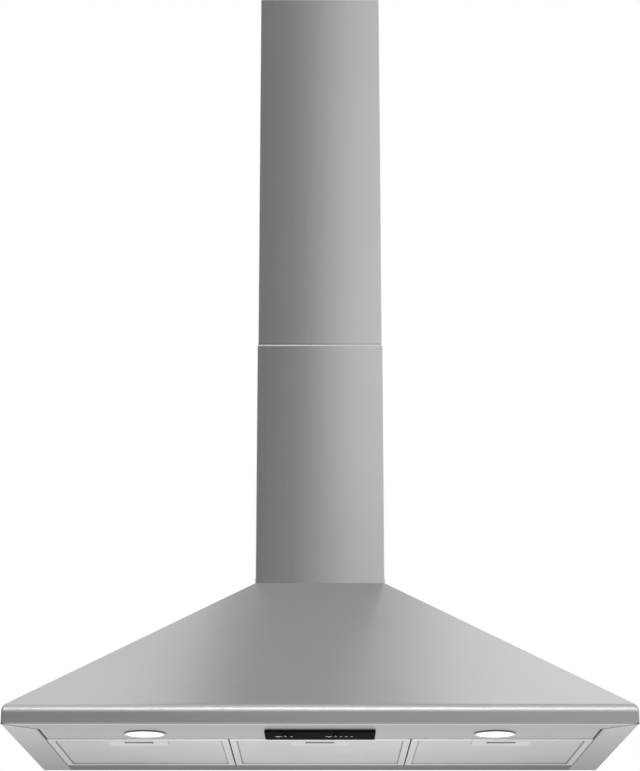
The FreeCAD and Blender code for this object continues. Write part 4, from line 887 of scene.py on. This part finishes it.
class HoodControls(bpy.types.Operator):
    """Control housing with its printed symbols and dots, the two sliders and the switch board"""
    bl_idname = "range_hood.controls"
    bl_label = "Finish Controls"

    def execute(self, context):
        control = context.scene.hood_control
        housing = moulded_plastic("control_plastic", control.housing_colour, 0.92, 2400.0, 0.000008,
                                  specular_ior_level=0.02)
        knob = moulded_plastic("slider_plastic", control.housing_colour, 0.8, 2400.0, 0.000008,
                               specular_ior_level=0.10)
        board_finish = moulded_plastic("switch_board_laminate", (0.05, 0.09, 0.05), 0.5, 900.0)
        dress(housing, "control_housing")
        dress(knob, "light_slider", "fan_slider")
        dress(board_finish, "switch_board")
        print_finish, board, shader = new_finish("symbol_print")
        speck = board.ranged(board.noise(board.place(), 2500.0), 0.3, 0.7, 0.93, 1.0)
        board.join(board.scaled(tuple(control.marking_colour), speck), shader.inputs["Base Color"])
        board.join(board.ranged(speck, 0.93, 1.0, 0.5, 0.42), shader.inputs["Roughness"])
        self.print_symbols(control, print_finish)
        return {"FINISHED"}

    def print_symbols(self, control, material):
        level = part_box("control_housing")[0].z
        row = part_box("canopy_shell")[0].y + control.symbol_row
        depth = control.marking_depth
        light_x = middle_x("light_slider")
        fan_x = middle_x("fan_slider")
        steps = [joint_reach("fan_slide") * step / (FAN_DOTS - 1) for step in range(FAN_DOTS)]
        form = bmesh.new()
        for x in (light_x, light_x + joint_reach("light_slide"), *[fan_x + step for step in steps]):
            flat_print(form, circle_points(x, row, control.dot_radius), level, depth)
        for x, centre_share, shares, copies, start in (
                (light_x - SYMBOL_GAP, DISC_SHARE, RAY_SHARES, LIGHT_RAYS, 0.0),
                (fan_x - SYMBOL_GAP, HUB_SHARE, BLADE_SHARES, FAN_BLADES, math.pi / 2)):
            flat_print(form, circle_points(x, row, control.symbol_radius * centre_share), level, depth)
            for index in range(copies):
                turn = Matrix.Rotation(index * 2 * math.pi / copies + start, 2)
                points = [turn @ Vector(corner) * control.symbol_radius for corner in shares]
                flat_print(form, [(x + point.x, row + point.y) for point in points], level, depth)
        finished(piece_from(form, "control_symbols"), "hood", material, smooth=False)
        for name, body in (("light_slider", "light_switch_slider"), ("fan_slider", "fan_switch_slider")):
            self.pointer(name, body, material)

    def pointer(self, name, body, material):
        """White paint in the groove of a slider, which points at the dots."""
        low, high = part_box(name)
        left = middle_x(name) - POINTER_HALF
        right = middle_x(name) + POINTER_HALF
        front = low.y + POINTER_FRONT
        rear = (low.y + high.y) / 2 - POINTER_REAR
        form = bmesh.new()
        flat_print(form, [(left, front), (right, front), (right, rear), (left, rear)],
                   low.z + POINTER_TOP, POINTER_DEPTH)
        finished(piece_from(form, f"{name}_pointer"), body, material, smooth=False)


class HoodBlower(bpy.types.Operator):
    """Scroll housing, fan wheel, motor with its bracket and rubber mounts"""
    bl_idname = "range_hood.blower"
    bl_label = "Finish Blower"

    def execute(self, context):
        metal = context.scene.hood_metal
        shell = moulded_plastic("blower_shell_plastic", (0.035, 0.036, 0.038), 0.5, 900.0, 0.00004)
        dress(shell, "blower_housing_left", "blower_housing_right")
        dress(zinc_sheet("fan_wheel_zinc", (0.62, 0.63, 0.64), 260.0), "impeller")
        dress(zinc_sheet("motor_bracket_zinc", metal.zinc_colour, 160.0), "motor_bracket")
        dress(moulded_plastic("motor_enamel", (0.10, 0.105, 0.11), 0.35, 600.0), "motor")
        dress(moulded_plastic("mount_rubber", (0.018, 0.018, 0.018), 0.75, 1200.0, 0.00004), "motor_mounts")
        dress(round_metal("shaft_steel", metal.plated_colour, 0.2, 0.04, metal), "motor_shaft")
        return {"FINISHED"}


class HoodDuctCollar(bpy.types.Operator):
    """Duct spigot with its two damper flaps and their pin"""
    bl_idname = "range_hood.duct_collar"
    bl_label = "Finish Duct Collar"

    def execute(self, context):
        metal = context.scene.hood_metal
        dress(moulded_plastic("collar_plastic", (0.045, 0.045, 0.048), 0.5, 1200.0, 0.00003),
              "outlet_collar")
        dress(moulded_plastic("flap_plastic", (0.06, 0.06, 0.063), 0.45, 1200.0, 0.00003),
              "left_flap", "right_flap")
        dress(round_metal("pin_steel", metal.plated_colour, 0.2, 0.04, metal), "flap_pin")
        return {"FINISHED"}


class HoodElectrics(bpy.types.Operator):
    """Electrics box with its cover, lamp driver, terminals, capacitor and cable gland"""
    bl_idname = "range_hood.electrics"
    bl_label = "Finish Electrics"

    def execute(self, context):
        metal = context.scene.hood_metal
        dress(moulded_plastic("box_plastic", (0.55, 0.55, 0.53), 0.5, 1500.0),
              "electrics_box", "electrics_cover")
        dress(moulded_plastic("driver_plastic", (0.75, 0.75, 0.73), 0.45), "lamp_driver")
        dress(moulded_plastic("terminal_plastic", (0.60, 0.58, 0.50), 0.5), "terminal_block")
        dress(moulded_plastic("capacitor_plastic", (0.70, 0.70, 0.68), 0.3), "capacitor")
        dress(moulded_plastic("gland_plastic", (0.03, 0.03, 0.032), 0.5, 1500.0),
              "cable_gland", "gland_nut")
        dress(zinc_sheet("clip_zinc", metal.plated_colour, 300.0), "capacitor_clip")
        return {"FINISHED"}


class HoodScrews(bpy.types.Operator):
    """Pan-head screws with threads and cross recesses, in place of the plain ones"""
    bl_idname = "range_hood.screws"
    bl_label = "Make Screws"

    def execute(self, context):
        metal = context.scene.hood_metal
        finish = round_metal("screw_steel", metal.plated_colour, 0.22, 0.04, metal)
        for name, body in (("lower_cover", "hood"), ("upper_cover", "upper_chimney"), ("collar", "hood"),
                           ("housing", "hood")):
            form = bmesh.new()
            for points in islands(NODES[f"{name}_screws"].data):
                self.screw(form, points)
            piece = finished(piece_from(form, f"{name}_cross_screws"), body, finish)
            piece.data.set_sharp_from_angle(angle=SCREW_SHARP_ANGLE)
            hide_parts(f"{name}_screws")
        return {"FINISHED"}

    def measured(self, points):
        """A plain screw's seat and way out, its length below the head, and its radii and head height."""
        low = Vector([min(point[way] for point in points) for way in range(3)])
        high = Vector([max(point[way] for point in points) for way in range(3)])
        size = high - low
        axis = max(range(3), key=lambda way: size[way])
        middle = (low + high) / 2

        def radius_of(point):
            return math.dist([point[way] for way in range(3) if way != axis],
                             [middle[way] for way in range(3) if way != axis])

        head_radius = max(radius_of(point) for point in points)
        wide = [point[axis] for point in points if radius_of(point) > RIM_SHARE * head_radius]
        out = 1 if sum(wide) / len(wide) > middle[axis] else -1
        head_height = max(wide) - min(wide)
        tip, crown = (low, high) if out > 0 else (high, low)
        shank = min(radius_of(point) for point in points if abs(point[axis] - tip[axis]) < TIP_DEPTH)
        seat = middle.copy()
        seat[axis] = crown[axis] - out * head_height
        direction = Vector((0, 0, 0))
        direction[axis] = out
        place = Matrix.Translation(seat) @ direction.to_track_quat("Z", "Y").to_matrix().to_4x4()
        return place, size[axis] - head_height, shank, head_radius, head_height

    def screw(self, form, points):
        """One screw along the longest way of a plain one, with its head where that one is widest."""
        place, length, shank, head_radius, head_height = self.measured(points)
        turns = max(2, round(length / THREAD_PITCH))
        profile = [(shank * TIP_SHARE, -length)]
        for step in range(turns):
            profile += [(shank, -length + (step + CREST_PITCH_SHARE) * length / turns),
                        (shank * ROOT_SHARE, -length + (step + ROOT_PITCH_SHARE) * length / turns)]
        profile.append((shank, 0.0))
        profile += [(head_radius * wide, head_height * tall) for wide, tall in HEAD_SHARES]
        rings = []
        for radius, height in profile:
            rings.append([form.verts.new(place @ Vector((x, y, height)))
                          for x, y in circle_points(0, 0, radius, SCREW_SIDES)])
        form.faces.new(rings[0][::-1])
        for lower, upper in zip(rings, rings[1:]):
            wall(form, lower, upper)
        self.cross_recess(form, place, rings[-1], head_radius, head_height)

    def cross_recess(self, form, place, rim, head_radius, head_height):
        """The top of a head inside its rim, with a cross let into it."""
        arm, reach = head_radius * ARM_SHARE, head_radius * REACH_SHARE
        cross = [(reach, -arm), (reach, arm), (arm, arm)]
        # The other three arms, each a quarter turn on
        for index in range(len(cross) * 3):
            x, y = cross[index]
            cross.append((-y, x))
        mouth = [form.verts.new(place @ Vector((x, y, head_height))) for x, y in cross]
        floor = [form.verts.new(place @ Vector((x * RECESS_FLOOR_SHARE, y * RECESS_FLOOR_SHARE,
                                                head_height * RECESS_HEIGHT_SHARE))) for x, y in cross]
        wall(form, mouth, floor)
        form.faces.new(floor)
        edges = []
        for ring in (rim, mouth):
            for index in range(len(ring)):
                pair = (ring[index], ring[(index + 1) % len(ring)])
                edges.append(form.edges.get(pair) or form.edges.new(pair))
        bmesh.ops.triangle_fill(form, edges=edges, use_beauty=True, use_dissolve=False)


class HoodStudio(bpy.types.Operator):
    """Camera, pale floor, plain fill light and softboxes"""
    bl_idname = "range_hood.studio"
    bl_label = "Set Up Studio"

    def execute(self, context):
        studio = context.scene.hood_studio
        self.camera(context, studio)
        self.floor(context, studio)
        self.world(context, studio)
        self.lights(context)
        context.scene.view_settings.view_transform = "Standard"
        return {"FINISHED"}

    def camera(self, context, studio):
        lens = bpy.data.cameras.new("studio_camera")
        lens.lens = studio.camera_focal_length
        lens.sensor_width = SENSOR_WIDTH
        lens.shift_y = studio.camera_shift
        lens.clip_end = VIEW_REACH
        camera = bpy.data.objects.new("studio_camera", lens)
        context.scene.collection.objects.link(camera)
        front = CAD_BOX[0].y
        camera.location = (0, front - studio.camera_distance, studio.camera_height)
        camera.rotation_euler = (math.pi / 2 + studio.camera_tilt, 0, 0)
        context.scene.camera = camera

    def floor(self, context, studio):
        form = bmesh.new()
        form.faces.new([form.verts.new((x, y, -studio.floor_drop))
                        for x, y in circle_points(0, 0, FLOOR_RADIUS, FLOOR_SIDES)])
        floor = piece_from(form, "studio_floor")
        if floor.data.polygons[0].normal.z < 0:
            floor.data.flip_normals()
        material, board, shader = new_finish("floor_pale", roughness=0.7)
        speck = board.ranged(board.noise(board.place(), 60.0), 0.3, 0.7, 0.90, 0.93)
        board.join(speck, shader.inputs["Base Color"])
        paths = board.add("ShaderNodeLightPath")
        glow = board.add("ShaderNodeEmission")
        glow.inputs["Strength"].default_value = 1.0
        seen = board.math("MAXIMUM", paths.outputs["Is Camera Ray"], paths.outputs["Is Glossy Ray"])
        seen = board.math("MAXIMUM", seen, paths.outputs["Is Transmission Ray"])
        mix = board.add("ShaderNodeMixShader")
        board.join(board.times(seen, FLOOR_GLOW_SHARE), mix.inputs[0])
        board.join(shader.outputs[0], mix.inputs[1])
        board.join(glow.outputs[0], mix.inputs[2])
        under = board.add("ShaderNodeMixShader")
        board.join(board.add("ShaderNodeNewGeometry").outputs["Backfacing"], under.inputs[0])
        board.join(mix.outputs[0], under.inputs[1])
        board.join(board.add("ShaderNodeBsdfTransparent").outputs[0], under.inputs[2])
        board.join(under.outputs[0], material.node_tree.nodes["Material Output"].inputs["Surface"])
        floor.data.materials.append(material)

    def world(self, context, studio):
        """White for the camera, a plain fill for dull faces, and a room for what glossy faces mirror."""
        world = bpy.data.worlds.new("studio_world")
        context.scene.world = world
        world.use_nodes = True
        board = Board(world.node_tree)
        background = world.node_tree.nodes["Background"]
        across, along, up = board.parts(board.add("ShaderNodeTexCoord").outputs["Generated"])
        right = board.ranged(up, *RIGHT_WALL)
        side = board.ranged(across, *LEFT_TO_RIGHT, LEFT_LEVEL, right, smooth=True)
        ground = board.ranged(up, *GROUND_FADE, smooth=True)
        low = board.ranged(up, *WALL_START, ground, side, smooth=True)
        high = board.ranged(up, *CEILING_START, low, CEILING_LEVEL, smooth=True)
        back = board.ranged(up, *BACK_WALL, smooth=True)
        dome = board.ranged(along, *FRONT_TO_BACK, high, back, smooth=True)
        paths = board.add("ShaderNodeLightPath")
        shine = paths.outputs["Is Glossy Ray"]
        seen = board.math("MAXIMUM", paths.outputs["Is Camera Ray"], paths.outputs["Is Transmission Ray"])
        mirrored = board.minus(dome, studio.fill_level)
        level = board.plus(board.times(shine, mirrored), studio.fill_level)
        level = board.plus(level, board.times(seen, board.minus(1.0, level)))
        background.inputs["Color"].default_value = (1, 1, 1, 1)
        board.join(level, background.inputs["Strength"])

    def softbox(self, context, name, place, aim, size, power, spread, turn):
        light = bpy.data.lights.new(name, "AREA")
        light.shape = "RECTANGLE"
        light.size, light.size_y = size
        light.energy = power
        light.spread = math.radians(spread)
        lamp = bpy.data.objects.new(name, light)
        context.scene.collection.objects.link(lamp)
        lamp.location = place
        facing = (Vector(aim) - Vector(place)).to_track_quat("-Z", "Y").to_matrix()
        lamp.rotation_euler = (facing @ Matrix.Rotation(math.radians(turn), 3, "Z")).to_euler()
        lamp.visible_camera = False

    def lights(self, context):
        for values in SOFTBOXES:
            self.softbox(context, *values)


class HoodPanel(bpy.types.Panel):
    """Steps and settings of the range hood"""
    bl_idname = "VIEW3D_PT_range_hood"
    bl_label = "Range Hood"
    bl_space_type = "VIEW_3D"
    bl_region_type = "UI"
    bl_category = "Range Hood"

    def draw(self, context):
        for step in STEPS:
            self.layout.operator(step.bl_idname)
        for name in SETTINGS:
            group = getattr(context.scene, name)
            box = self.layout.box()
            for item in group.bl_rna.properties:
                if item.identifier not in ("rna_type", "name"):
                    box.prop(group, item.identifier)


SETTINGS = {
    "hood_metal": HoodMetalSettings,
    "hood_control": HoodControlSettings,
    "hood_lamp": HoodLampSettings,
    "hood_studio": HoodStudioSettings,
}
STEPS = (
    HoodSteelSheets,
    HoodGreaseFilters,
    HoodLamps,
    HoodControls,
    HoodBlower,
    HoodDuctCollar,
    HoodElectrics,
    HoodScrews,
    HoodStudio,
)


def register():
    for item in (*SETTINGS.values(), *STEPS, HoodPanel):
        bpy.utils.register_class(item)
    for name, group in SETTINGS.items():
        setattr(bpy.types.Scene, name, PointerProperty(type=group))


def unregister():
    for name in SETTINGS:
        delattr(bpy.types.Scene, name)
    for item in (HoodPanel, *reversed(STEPS), *reversed(SETTINGS.values())):
        bpy.utils.unregister_class(item)


def main():
    register()
    for step in STEPS:
        family, name = step.bl_idname.split(".")
        getattr(getattr(bpy.ops, family), name)()


if __name__ == "__main__":
    main()
